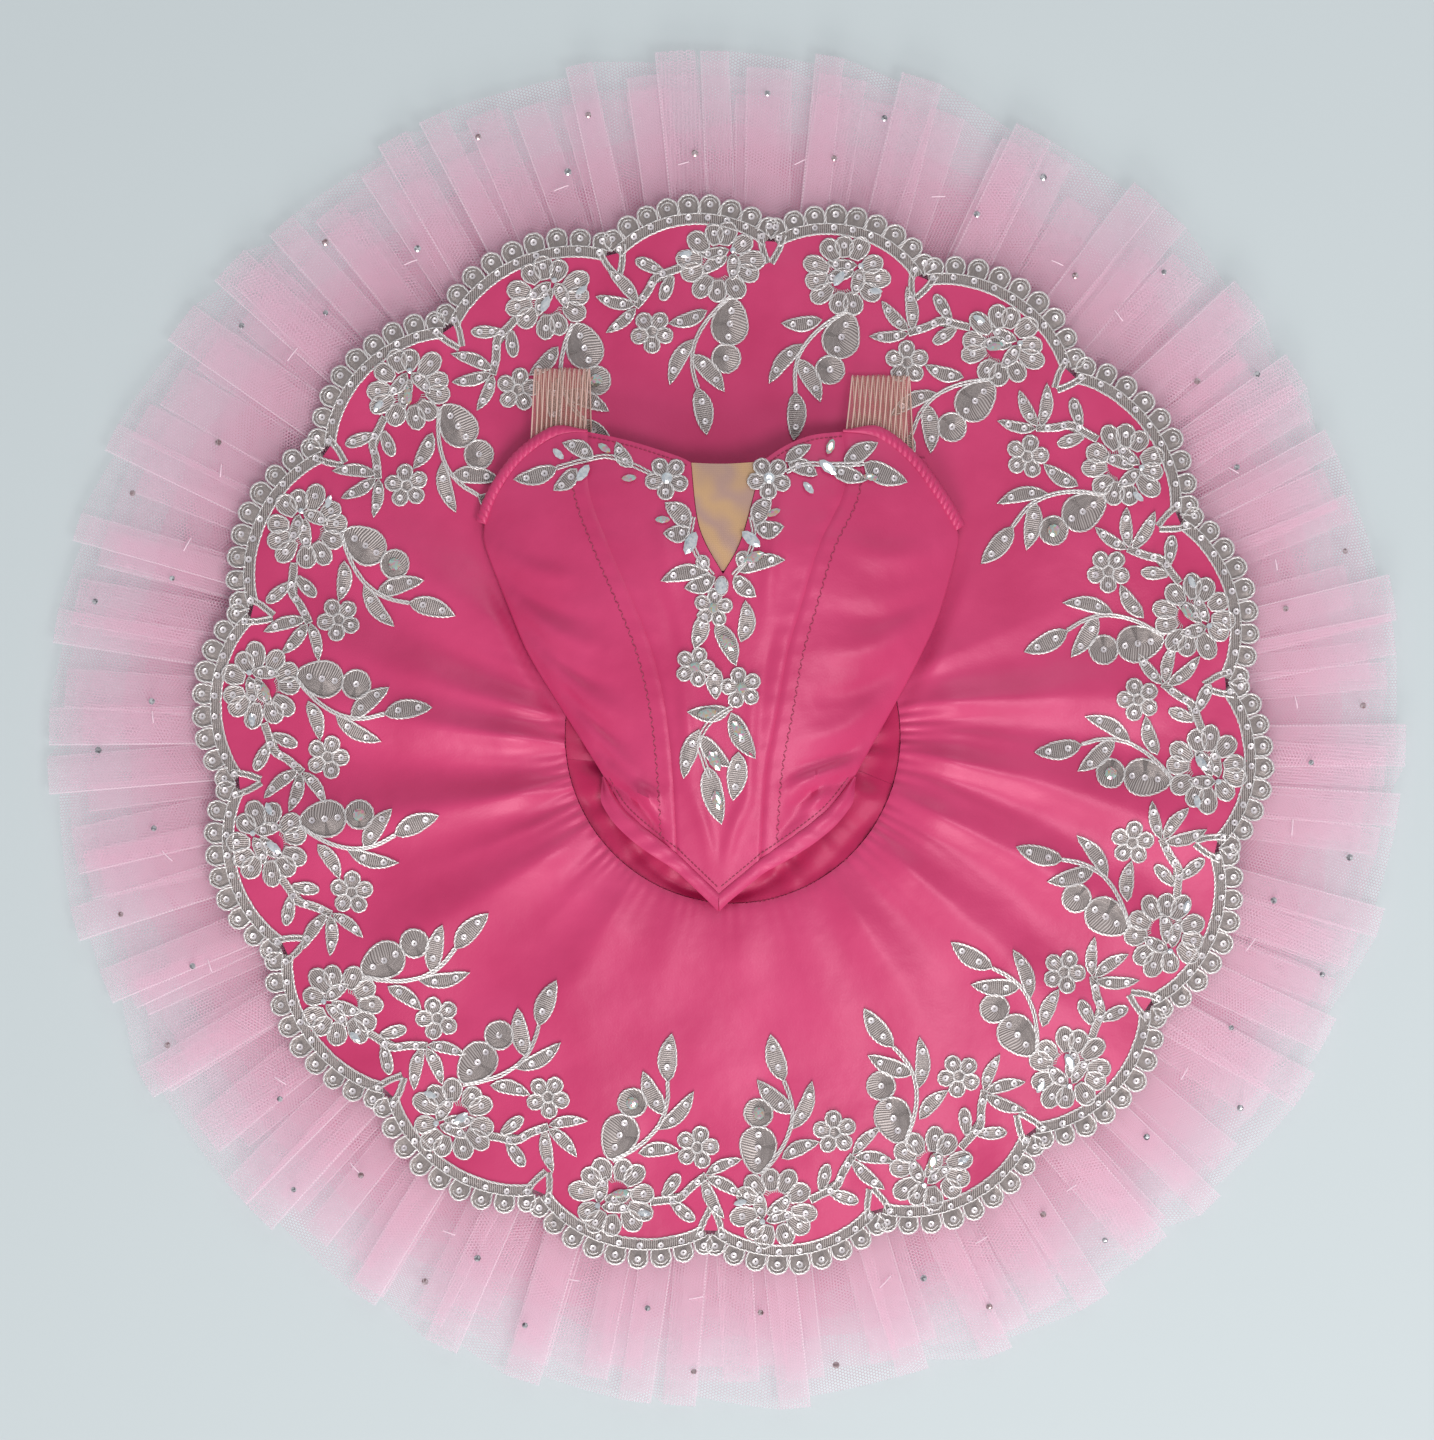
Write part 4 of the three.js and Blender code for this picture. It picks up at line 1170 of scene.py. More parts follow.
@dataclass(frozen=True)
class SkirtForm:
    """The level of the satin top skirt, with its folds, gathers and slow waves."""

    folds: tuple[Fold, ...] = SKIRT_FOLDS
    gathers: int = 96
    gather_height: float = 0.85
    fullness: float = 3.5  # how tall the folds stand, as a share of their own heights
    pressed: float = 16.0  # how far beside the bodice the cloth lies pressed
    waist: float = -36.0  # level at which the bodice stops pressing it

    def __post_init__(self) -> None:
        """Prepares the rounded profiles."""
        rows = BODICE_ROWS[::-1]
        levels = tuple(row[0] for row in rows)
        object.__setattr__(self, "profile", smooth_table(PLATE_RADII, PLATE_HEIGHTS, 14))
        object.__setattr__(self, "left", smooth_table(levels, tuple(row[1] for row in rows), 9))
        object.__setattr__(self, "right", smooth_table(levels, tuple(row[4] for row in rows), 9))

    def under(self, x: Points, y: Points) -> Points:
        """The level of the skirt without folds, flat across the hip opening."""
        radius = np.hypot(x - HIP[0], y - HIP[1])
        return np.interp(np.maximum(radius, HIP_RADIUS), PLATE_RADII, PLATE_HEIGHTS)

    def freedom(self, x: Points, y: Points) -> Points:
        """0 where the bodice presses the cloth flat, 1 clear of it."""
        outside = np.maximum(self.left(y) - x, x - self.right(y))
        above = np.maximum(y - BODICE_ROWS[0][0], self.waist - y)
        return soft_step(np.maximum(outside, above), 2, self.pressed)

    def surface(self, x: Points, y: Points) -> Points:
        """The level of the satin's middle at a place.

        Args:
            x: places across.
            y: places towards the back.

        Returns:
            The heights.
        """
        dx, dy = x - HIP[0], y - HIP[1]
        radius = np.hypot(dx, dy)
        angle = np.degrees(np.arctan2(dy, dx)) % 360
        out = radius - HIP_RADIUS
        height = np.zeros(np.broadcast(x, y).shape)
        for fold in self.folds:
            share = np.clip(out / (1.15 * fold.reach), 0, 1)
            away = (angle - fold.angle - fold.turn * share**0.7 + 180) % 360 - 180
            away = away / (1.3 * fold.spread * (1 + 0.35 * share))
            away = np.where(away > 0, away * 0.8, away * 1.25)
            shape = np.exp(-np.abs(away) ** 1.7) - 0.28 * np.exp(-np.abs(away + 1.9) ** 2)
            fade = (1 - share) ** 0.95 * (0.24 + 0.76 * soft_step(out, 0, 44))
            height += self.fullness * fold.height * shape * fade
        turn = np.radians(angle)
        wobble = 3 * np.sin(turn * 3.0 + 0.6) + 2 * np.sin(turn * 11)
        puckers = np.sin(turn * self.gathers + wobble)
        strength = np.maximum(0.55 + 0.45 * np.cos(turn * 2) + 0.25 * np.sin(turn * 7), 0.25)
        length = 12 + 7 * np.sin(turn * 23) + 5 * np.sin(turn * 9 + 1)
        height += self.gather_height * strength * puckers * np.exp(-np.maximum(out, 0) / length)
        height -= 1.6 * np.exp(-np.maximum(out, 0) / 3.0)
        slow = 2.6 * bumpy(x, y, 62, 1.3) + 0.9 * bumpy(x, y, 27, 4.1)
        height += slow * soft_step(out, 15, 120)
        return self.profile(np.maximum(radius, HIP_RADIUS)) + height * self.freedom(x, y)

    def top(self, x: Points, y: Points) -> Points:
        """The level of the satin's upper face."""
        return self.surface(x, y) + CLOTH / 2


def scallop_edge(share: Points) -> Points:
    """The skirt's radius along one scallop, from cusp to cusp."""
    wave = np.clip(np.sin(np.pi * share), 0, 1)
    return SCALLOP_CUSP + (SCALLOP_PEAK - SCALLOP_CUSP) * wave**SCALLOP_ROUND


def scallop_spans() -> list[Spot]:
    """Where each scallop starts and ends, in degrees."""
    cusps = [row[0] for row in SCALLOPS]
    return list(zip(cusps, [*cusps[1:], cusps[0] + 360]))


@dataclass(frozen=True)
class TopSkirt:
    """The satin plate over the nets, cut as a ring and gathered into the hip seam."""

    form: SkirtForm
    cusp_edge: float = 359.0  # the cloth runs on behind the lace's windows
    per_scallop: int = 34
    rings: int = 46
    flat: float = 0.79
    area: float = 0.384

    def build(self, finishes: Finishes) -> None:
        share = np.arange(self.per_scallop) / self.per_scallop
        angles, edges = [], []
        for start, end in scallop_spans():
            angles.append(start + (end - start) * share)
            edges.append(np.maximum(scallop_edge(share), self.cusp_edge))
        angle, edge = np.concatenate(angles), np.concatenate(edges)
        steps = np.linspace(0, 1, self.rings)[:, None] ** 1.25
        radius = HIP_RADIUS + (edge[None] - HIP_RADIUS) * steps
        flat = turned(angle)[None] * radius[..., None] + HIP
        height = self.form.surface(flat[..., 0], flat[..., 1])
        grid = np.concatenate([flat, height[..., None]], axis=-1)
        plate = Cutting()
        plate.shell(grid, CLOTH, flat, round_it=True)
        piece = plate.build("top_skirt", [finishes.satin])
        dressed(piece, "satin", "skirt_plate")


# -------------------------------------------------------------------------------- lace


class Gem(Enum):
    """The cut of a sewn or glued stone."""

    ROUND = "round"
    NAVETTE = "navette"
    OVAL = "oval"


@dataclass(frozen=True)
class Leaf:
    """An embroidered leaf or petal, from its foot to its tip."""

    foot: Spot
    tip: Spot
    width: float
    sequins: int = 2
    bend: float = 0.0
    blunt: bool = False


@dataclass(frozen=True)
class Stone:
    """A stone at a place, turned to an angle, in clear or aurora glass."""

    at: Spot
    length: float
    gem: Gem = Gem.ROUND
    angle: float = 0.0
    aurora: bool = False


class LaceMaker:
    """Embroiders lace flat: filled shapes, their cords, sequins and stones.

    The fill goes to the cloth piece, and all that is sewn on it to the beads piece.
    """

    CROWN = 0.62  # share of a fill's width at which it reaches its full height
    EDGE = 0.3
    FILL_LIFT = 0.75
    CORD = 0.82
    SEQUIN = 2.35
    SEQUIN_SIDES = 10
    PETALS = 5
    HOLE = 0.75

    def __init__(self, place: Place | None, seed: int) -> None:
        """Starts two empty pieces, both laid in place when they are built, or left as they are."""
        self.cloth = Cutting(place)
        self.beads = Cutting(place)
        self.chance = np.random.default_rng(seed)

    def fill(self, outline: Points, grain: Points, rise: float = 0.9) -> None:
        """Adds one embroidered shape, thin at its edge and raised in the middle.

        Args:
            outline: its outline, a flat point a row.
            grain: where each outline point lies across the rows of thread.
            rise: how high its middle stands.
        """
        count = len(outline)
        middle = outline.mean(0)
        inner = middle + (outline - middle) * self.CROWN
        points = np.vstack([
            np.column_stack([outline, np.full(count, self.EDGE)]),
            np.column_stack([inner, np.full(count, rise * 0.9)]),
            [[*middle, rise], [*middle, 0.0]],
        ])
        center = grain.mean(0)
        cloth = np.vstack([grain, center + (grain - center) * self.CROWN, [center, center]])
        ring = np.arange(count)
        after = (ring + 1) % count
        top, bottom = 2 * count, 2 * count + 1
        sides = np.vstack([
            np.column_stack([ring, after, after + count]),
            np.column_stack([ring, after + count, ring + count]),
            np.column_stack([ring + count, after + count, np.full(count, top)]),
            np.column_stack([after, ring, np.full(count, bottom)]),
        ])
        if area_of(outline) < 0:
            sides = sides[:, ::-1]
        self.cloth.add(points, sides, cloth)

    def cord(self, line: Points, closed: bool = False, lift: float = FILL_LIFT,
             radius: float = CORD) -> None:
        """Couches a silver cord along a flat line."""
        wobble = 0.12 * self.chance.standard_normal((len(line), 2))
        points = np.column_stack([line + wobble, np.full(len(line), lift)])
        self.beads.tube(points, radius, 5, closed, Finish.FIRST)

    def sequin(self, x: float, y: float, lift: float = 1.1) -> None:
        """Sews one cup sequin, tilted a little its own way."""
        sides = np.arange(self.SEQUIN_SIDES)
        around = sides * 2 * np.pi / self.SEQUIN_SIDES
        size = self.SEQUIN * (0.94 + 0.12 * self.chance.random())
        tilt = 0.16 * self.chance.standard_normal(2)
        radii = np.array([self.HOLE, size * 0.62, size, size * 0.95])
        levels = np.array([0.25, 0.32, 0.85, 0.55])
        ring = np.stack([np.cos(around), np.sin(around)], axis=-1)
        flat = ring[None] * radii[:, None, None]
        height = levels[:, None] + lift + flat @ tilt
        points = np.concatenate([flat + (x, y), height[..., None]], axis=-1)
        faces = quads(len(radii), self.SEQUIN_SIDES, True)[:, ::-1]
        self.beads.add(points.reshape(-1, 3), faces, None, Finish.SECOND)
        after = (sides + 1) % self.SEQUIN_SIDES
        edge = (len(radii) - 1) * self.SEQUIN_SIDES
        under = np.column_stack([sides, after, edge + after, edge + sides])
        self.beads.add(points.reshape(-1, 3), under, None, Finish.SECOND)

    def stone(self, stone: Stone, lift: float = 1.0) -> None:
        """Sets one cut stone, its facets crisp.

        Args:
            stone: the stone.
            lift: how high its back stands.
        """
        count = 8 if stone.gem is Gem.NAVETTE else 10
        around = np.arange(count) * 2 * np.pi / count
        slim = {Gem.ROUND: 1.0, Gem.NAVETTE: 0.5, Gem.OVAL: 0.68}[stone.gem]
        ring = np.stack([np.cos(around), np.sin(around)], axis=-1) * (0.5, 0.5 * slim)
        if stone.gem is Gem.NAVETTE:
            ring[:, 1] *= 0.62 + 0.38 * np.abs(np.sin(around))
        along = turned(stone.angle)
        turn = np.array([[along[0], along[1]], [-along[1], along[0]]])
        flat = ring @ turn * stone.length
        tall = stone.length * 0.5 * slim * 0.62
        levels = [(0.86, 0.0), (1.0, tall * 0.4), (0.55, tall)]
        points = np.vstack([np.column_stack([flat * size + stone.at, np.full(count, lift + up)])
                            for size, up in levels])
        points = np.vstack([points, [[*stone.at, lift + tall * 1.02], [*stone.at, lift]]])
        ids = np.arange(count)
        after = (ids + 1) % count
        faces = [np.column_stack([a + ids, a + after, a + count + after]) for a in (0, count)]
        faces += [np.column_stack([a + ids, a + count + after, a + count + ids]) for a in (0, count)]
        faces.append(np.column_stack([2 * count + ids, 2 * count + after, np.full(count, 3 * count)]))
        faces.append(np.column_stack([after, ids, np.full(count, 3 * count + 1)]))
        finish = Finish.FOURTH if stone.aurora else Finish.THIRD
        self.beads.add(points, np.vstack(faces), None, finish, cut=True)

    def leaf(self, leaf: Leaf) -> None:
        """Embroiders a leaf with its cord and sequins."""
        foot, tip = np.array(leaf.foot, float), np.array(leaf.tip, float)
        length = float(np.linalg.norm(tip - foot))
        along = (tip - foot) / length
        across = np.array([-along[1], along[0]])
        share = np.linspace(0, 1, 9)
        if leaf.blunt:
            share = (1 - np.cos(np.pi * np.linspace(0, 1, 11))) / 2
            half = np.where(share < 0.55, 0.38 + 0.62 * np.sin(np.pi / 2 * share / 0.55),
                            np.sqrt(np.clip(1 - ((share - 0.55) / 0.45) ** 2, 0, 1)))
        else:
            half = np.sin(np.pi * share**0.85) ** 0.78
        spine = foot + np.outer(share * length, along) + np.outer(leaf.bend * np.sin(np.pi * share), across)
        wide = np.outer(half * leaf.width / 2, across)
        outline = np.vstack([spine + wide, (spine - wide)[-2:0:-1]])
        grain = np.column_stack([outline @ along, outline @ across])
        if leaf.blunt:
            grain = grain[:, ::-1]
        self.fill(outline, grain)
        self.cord(outline, closed=True)
        for place in np.linspace(0.3, 0.72, leaf.sequins) if leaf.sequins > 1 else [0.55][:leaf.sequins]:
            at = foot + along * length * place + across * leaf.bend * np.sin(np.pi * place)
            self.sequin(*at)

    def disc(self, at: Spot, radius: float, sequins: int = 1, point: Spot | None = None) -> None:
        """Embroiders a round lobe, or a pear that runs to a point, its threads from the middle out.

        Args:
            at: its middle.
            radius: its radius.
            sequins: how many stand in a row through it.
            point: where it narrows to, or None for a round lobe.
        """
        around = np.linspace(0, 2 * np.pi, 18, endpoint=False)
        outline = np.array(at) + np.stack([np.cos(around), np.sin(around)], axis=-1) * radius
        row = np.array([[0.0, 0.0]])
        if point is not None:
            pull = np.array(point, float) - at
            far = np.linalg.norm(pull)
            facing = np.clip((outline - at) @ pull / far / radius, 0, 1)
            outline = outline + pull[None] * (facing[:, None] ** 2.2) * (1 - radius / far)
            row = np.linspace(-0.35, 0.55, sequins)[:, None] * pull[None]
        grain = np.column_stack([around * radius * 0.8, np.full(len(around), radius)])
        self.fill(outline, grain, 1.1)
        self.cord(outline, closed=True)
        for offset in row[:sequins]:
            self.sequin(*(np.array(at) + offset))

    def flower(self, at: Spot, radius: float, turn: float, stone: Stone | None = None) -> None:
        """Embroiders a small flower of round petals with a sequin in each."""
        for angle in turn + np.arange(self.PETALS) * 360 / self.PETALS:
            way = turned(angle)
            foot = np.array(at) + way * radius * 0.22
            tip = np.array(at) + way * radius
            self.leaf(Leaf(tuple(foot), tuple(tip), radius * 0.72, 1, 0, True))
        if stone is None:
            self.disc(at, radius * 0.26, 0)
        else:
            self.stone(stone, 1.3)

    def stem(self, points: tuple, apart: float = 1.7) -> None:
        """Couches a pair of cords side by side along a smooth line."""
        line = through(points, 14)
        for side in (-apart / 2, apart / 2):
            self.cord(beside(line, side), lift=0.7)

    def ray(self, start: Points, end: Points) -> None:
        """Couches one fine stamen thread."""
        line = np.linspace(start, end, 3)
        self.beads.tube(np.column_stack([line, np.full(3, 0.45)]), 0.3, 4, False, Finish.FIRST)

    def finish(self, name: str, node: str, finishes: Finishes, flat: Spot,
               share: float, rests_on: list[str]) -> None:
        """Args:
            name: the lace's name.
            node: the solid that it stands for.
            finishes: the tutu's finishes.
            flat: the size that its organza was cut to, in metres; not used.
            share: how much of that cut is embroidered; not used.
            rests_on: what the lace lies on; not used.
        """
        cloth = self.cloth.build(f"{name}_fill", [finishes.lace])
        beads = self.beads.build(f"{name}_beads", finishes.sewn_on())
        dressed(cloth, "lace", node)
        dressed(beads, "lace")


def area_of(outline: Points) -> float:
    """The area inside an outline, below 0 where it runs clockwise."""
    after = np.roll(outline, -1, axis=0)
    return float((outline[:, 0] * after[:, 1] - outline[:, 1] * after[:, 0]).sum() / 2)


# leaves of one motif: across the skirt, and inwards from the middle of its flower
INNER_LEAVES = (
    Leaf((-9, -7), (-9, 13), 9, 2, 1), Leaf((-5, -4), (13, 9), 9, 2, -1.5),
    Leaf((-6, -9), (15, -6), 8.5, 2, 1.5),
)
STALK_LEAVES = (
    Leaf((14, 92), (7, 126), 13, 2, 1.5), Leaf((19, 68), (-5, 94), 12, 2, 2),
    Leaf((18, 57), (34, 90), 10, 2, -3), Leaf((9, 36), (36, 46), 10, 2, 2),
)
SPRIG_LEAVES = (
    Leaf((60, 35), (81, 53), 7.5, 2, 1.5), Leaf((61, 33), (89, 27), 8.5, 2, 1.5),
    Leaf((59, 31), (81, 8), 8.5, 2, -2), Leaf((35, 11), (41, 29), 8.5, 1, 0, True),
    Leaf((42, 8), (61, 0), 8.5, 2, 0, True),
)
STALK = ((-8, 25), (4, 37), (13, 50), (18, 64), (18, 78), (14, 92))
SPRIG_STEM = ((60, 34), (52, 23), (46, 12), (36, 8), (27, 4))


@dataclass(frozen=True)
class LaceMotifs:
    """The eighteen embroidered flowers with their stalks and side sprigs."""

    form: SkirtForm
    petals: int = 11
    petal_ring: float = 31.5
    flat: Spot = (0.125, 0.165)
    plain_flat: Spot = (0.08, 0.165)
    covered: float = 0.31

    def build(self, finishes: Finishes) -> None:
        """Makes every motif, each with its own small turn and its own stones."""
        for index, (_, angle, sprig) in enumerate(SCALLOPS):
            maker = LaceMaker(self._place(angle, index), 300 + index)
            self._flower(maker, index)
            self._stalk(maker, index)
            if sprig:
                self._sprig(maker)
            name = f"lace_motif_{index + 1:02d}"
            flat = self.flat if sprig else self.plain_flat
            maker.finish(name, name, finishes, flat, self.covered, ["top_skirt"])

    def _place(self, angle: float, index: int) -> Place:
        """Lays a motif on the skirt at an angle, turned a little about its flower."""
        chance = np.random.default_rng(500 + index)
        twist = np.radians(6 * (chance.random() - 0.5))
        slip = 2.5 * (chance.random() - 0.5)

        def place(points: Points) -> Points:
            across = points[:, 0] * np.cos(twist) - points[:, 1] * np.sin(twist)
            inward = points[:, 0] * np.sin(twist) + points[:, 1] * np.cos(twist)
            reach = MOTIF_RADIUS + slip - inward
            out, side = turned(angle), turned(angle + 90)
            flat = np.outer(reach, out) + np.outer(across, side) + HIP
            height = self.form.top(flat[:, 0], flat[:, 1]) + 0.15 + points[:, 2]
            return np.column_stack([flat, height])

        return place

    def _flower(self, maker: LaceMaker, index: int) -> None:
        """The many-petalled flower, its stamens and its centre leaves."""
        for petal in range(self.petals):
            angle = 90 + (petal + 0.15 * np.sin(petal * 2.1 + index)) * 360 / self.petals
            way = turned(angle)
            foot = way * 13
            reach = self.petal_ring + 1.5 * np.sin(petal * 2.7) - 2.5 * abs(way[1])
            tip = way * reach
            width = 14 if petal % 2 else 13
            maker.leaf(Leaf(tuple(foot), tuple(tip), width, 1, 0, True))
        for spoke in np.arange(-60, 150, 9):
            way = turned(spoke)
            if -25 < spoke < 135:
                maker.ray(way * 8.5 + (2, 3), way * 14 + (1, 1))
        for leaf in INNER_LEAVES:
            maker.leaf(leaf)
        maker.stone(Stone((-9, -9), 4.2), 1.6)
        if index % 3 != 1:
            maker.stone(Stone((4, 4), 13, Gem.NAVETTE, 25 + 15 * (index % 4), index % 2 == 0), 1.9)
        for at in ((-24, 6), (25, -5)):
            if (index + at[0]) % 2:
                maker.stone(Stone(at, 10, Gem.NAVETTE, 10, False), 1.4)

    def _stalk(self, maker: LaceMaker, index: int) -> None:
        """The stalk with its leaves, its pear and the round lobe on it."""
        maker.stem(STALK)
        for leaf in STALK_LEAVES:
            maker.leaf(leaf)
        maker.disc((-8, 47), 13.2, 3, (-10, 26))
        starred = index % 4 == 1 or index in (7, 12)
        maker.disc((-6, 70), 10.3, 0 if starred else 1)
        if starred:
            maker.stone(Stone((-6, 70), 9, Gem.ROUND, 0, True), 1.3)

    def _sprig(self, maker: LaceMaker) -> None:
        """The side sprig: a small flower, a sequinned stem and its leaves."""
        maker.flower((48, 52), 15.5, 20)
        line = through(SPRIG_STEM, 12)
        outline = np.vstack([beside(line, 2.4), beside(line, -2.4)[::-1]])
        maker.fill(outline, outline)
        maker.cord(outline, closed=True)
        for at in line[2:11:3]:
            maker.sequin(*at)
        for leaf in SPRIG_LEAVES:
            maker.leaf(leaf)


@dataclass(frozen=True)
class LaceBorder:
    """The scalloped edging: a band along the satin's edge with round lobes hanging from it."""

    form: SkirtForm
    lobes: int = 9
    band: float = 6.5
    lobe_reach: float = 13.6
    pitch_half: float = 7.6
    flat: Spot = (2.5, 0.026)
    covered: float = 0.62

    def build(self, finishes: Finishes) -> None:
        """Makes the whole edging as one lace."""
        maker = LaceMaker(self._place, 900)
        for index, (start, end) in enumerate(scallop_spans()):
            self._scallop(maker, start, end, index)
        maker.finish("lace_border", "lace_border", finishes, self.flat, self.covered,
                     ["top_skirt", "net_layer_top"])

    def _place(self, points: Points) -> Points:
        """Lays flat points at the skirt's level; past the satin they hang a little towards the nets."""
        radius = np.hypot(points[:, 0] - HIP[0], points[:, 1] - HIP[1])
        droop = 0.05 * np.maximum(radius - SCALLOP_PEAK, 0)
        height = self.form.top(points[:, 0], points[:, 1]) - 0.3 - droop + points[:, 2]
        return np.column_stack([points[:, :2], height])

    def _scallop(self, maker: LaceMaker, start: float, end: float, index: int) -> None:
        """One scallop: its band, its lobes, and the pointed peak over the next cusp."""
        share = np.linspace(0, 1, 61)
        angle = start + (end - start) * share
        edge = turned(angle) * scallop_edge(share)[:, None] + HIP
        line = respaced(edge, 60)
        inner = beside(line, 1.2)
        away = np.linspace(0, 1, 61)
        pinch = soft_step(np.minimum(away, 1 - away), 0.0, 0.06)
        outer = beside(line, -self.band * (0.35 + 0.65 * pinch))
        for low in range(4, 56, 4):
            part = slice(low, low + 5)
            outline = np.vstack([inner[part], outer[part][::-1]])
            maker.fill(outline, outline, 0.5)
        maker.cord(inner[4:57])
        maker.cord(outer[4:57], radius=0.55)
        self._lobes(maker, line, index)
        self._peak(maker, end)

    def _lobes(self, maker: LaceMaker, line: Points, index: int) -> None:
        """The round lobes along one scallop, each with a corded rim, an inner arc and two sequins."""
        count = self.lobes
        places = (np.arange(count) + 0.5) / count
        spots = np.column_stack([np.interp(0.04 + 0.92 * places, np.linspace(0, 1, len(line)), line[:, k])
                                 for k in (0, 1)])
        runs = np.gradient(spots, axis=0)
        for lobe, (spot, run) in enumerate(zip(spots, runs)):
            run = run / np.linalg.norm(run)
            out = np.array([run[1], -run[0]])
            grown = 0.86 + 0.14 * np.sin(np.pi * (lobe + 0.5) / count)
            half = self.pitch_half * (0.97 + 0.03 * np.sin(lobe * 2.3 + index)) * (0.3 + 0.7 * grown)
            reach = (self.lobe_reach + 0.5 * np.sin(lobe * 1.7 + 2 * index)) * grown
            shape = np.linspace(-0.06, 1.06, 13) * np.pi
            center = self.band + reach - half
            curve = np.stack([-np.cos(shape) * half, np.sin(shape) * half + center], axis=-1)
            foot = np.array([[-0.86 * half, self.band - 1.0]])
            curve = np.vstack([foot, curve, foot * (-1, 1)])
            rim = spot + curve[:, :1] * run + curve[:, 1:] * out
            grain = np.column_stack([np.linspace(-1, 1, 15) * half * 2.2, np.full(15, half)])
            maker.fill(rim, grain, 0.9)
            maker.cord(rim)
            middle = spot + out * center
            arc = middle + (rim[3:-3] - middle) * 0.64
            maker.cord(arc, radius=0.45, lift=0.95)
            maker.sequin(*(middle + out * 0.3))
            maker.sequin(*(spot + out * 3.6 + run * 0.8))

    def _peak(self, maker: LaceMaker, angle: float) -> None:
        """The peak at a cusp: two narrow legs that meet over a window."""
        out, side = turned(angle), turned(angle + 90)
        tip = out * (SCALLOP_CUSP - 7) + HIP
        for way in (-1, 1):
            foot = out * (SCALLOP_CUSP + 14.5) + HIP + side * way * 8.6
            knee = out * (SCALLOP_CUSP + 4) + HIP + side * way * 6.2
            line = through((foot, knee, tip + side * way * 1.2), 8)
            outline = np.vstack([beside(line, 1.8), beside(line, -1.8)[::-1]])
            maker.fill(outline, outline, 0.6)
            maker.cord(beside(line, 1.7))
            maker.cord(beside(line, -1.7))


# -------------------------------------------------------------------------------- bodice


@dataclass(frozen=True)
class Crease:
    """A soft ridge or trough on the bodice between two places, above 0 for a ridge."""

    start: Spot
    end: Spot
    width: float
    height: float
    bend: float = 0.0


CREASES = (
    Crease((-168, 132), (-104, 108), 9, 1.5, -6), Crease((-160, 112), (-92, 78), 7, -1.2, -8),
    Crease((-152, 96), (-88, 58), 8, 1.7, -7), Crease((-142, 74), (-78, 30), 6, -1.3, -8),
    Crease((-134, 60), (-74, 10), 8, 2.0, -7), Crease((-120, 38), (-66, -12), 6, -1.6, -6),
    Crease((-108, 18), (-60, -34), 7, 2.2, -5), Crease((-96, -4), (-56, -44), 5, -2.0, -3),
    Crease((-88, -22), (-50, -58), 6, 3.4, 3), Crease((-86, -38), (-48, -70), 4, -2.4, 4),
    Crease((-74, -44), (-46, -48), 5, 2.2, 0), Crease((-60, -60), (-44, -84), 4, -1.4, 2),
    Crease((150, 128), (84, 132), 12, 1.3, 6), Crease((146, 96), (72, 84), 9, -1.1, 8),
    Crease((138, 78), (66, 56), 12, 1.6, 8), Crease((124, 46), (58, 22), 9, -1.1, 7),
    Crease((112, 22), (52, -6), 10, 1.5, 6), Crease((98, -8), (46, -30), 6, -1.5, 4),
    Crease((92, -24), (42, -44), 6, 2.8, -3), Crease((88, -36), (40, -62), 5, -1.9, -4),
    Crease((74, -40), (58, -54), 5, 2.2, 0), Crease((60, -56), (34, -78), 4, -1.3, -2),
    Crease((-52, 150), (-40, 92), 7, 1.2, 3), Crease((-48, 100), (-30, 20), 6, -1.0, 3),
    Crease((-38, 80), (-27, -30), 6, 1.2, 2), Crease((40, 150), (28, 84), 7, 1.1, -3),
    Crease((34, 74), (18, -20), 6, -0.9, -2), Crease((24, 40), (14, -60), 6, 1.1, -2),
    Crease((-28, -40), (-10, -96), 6, 1.2, 2), Crease((16, -44), (-2, -98), 6, 1.0, -2),
)


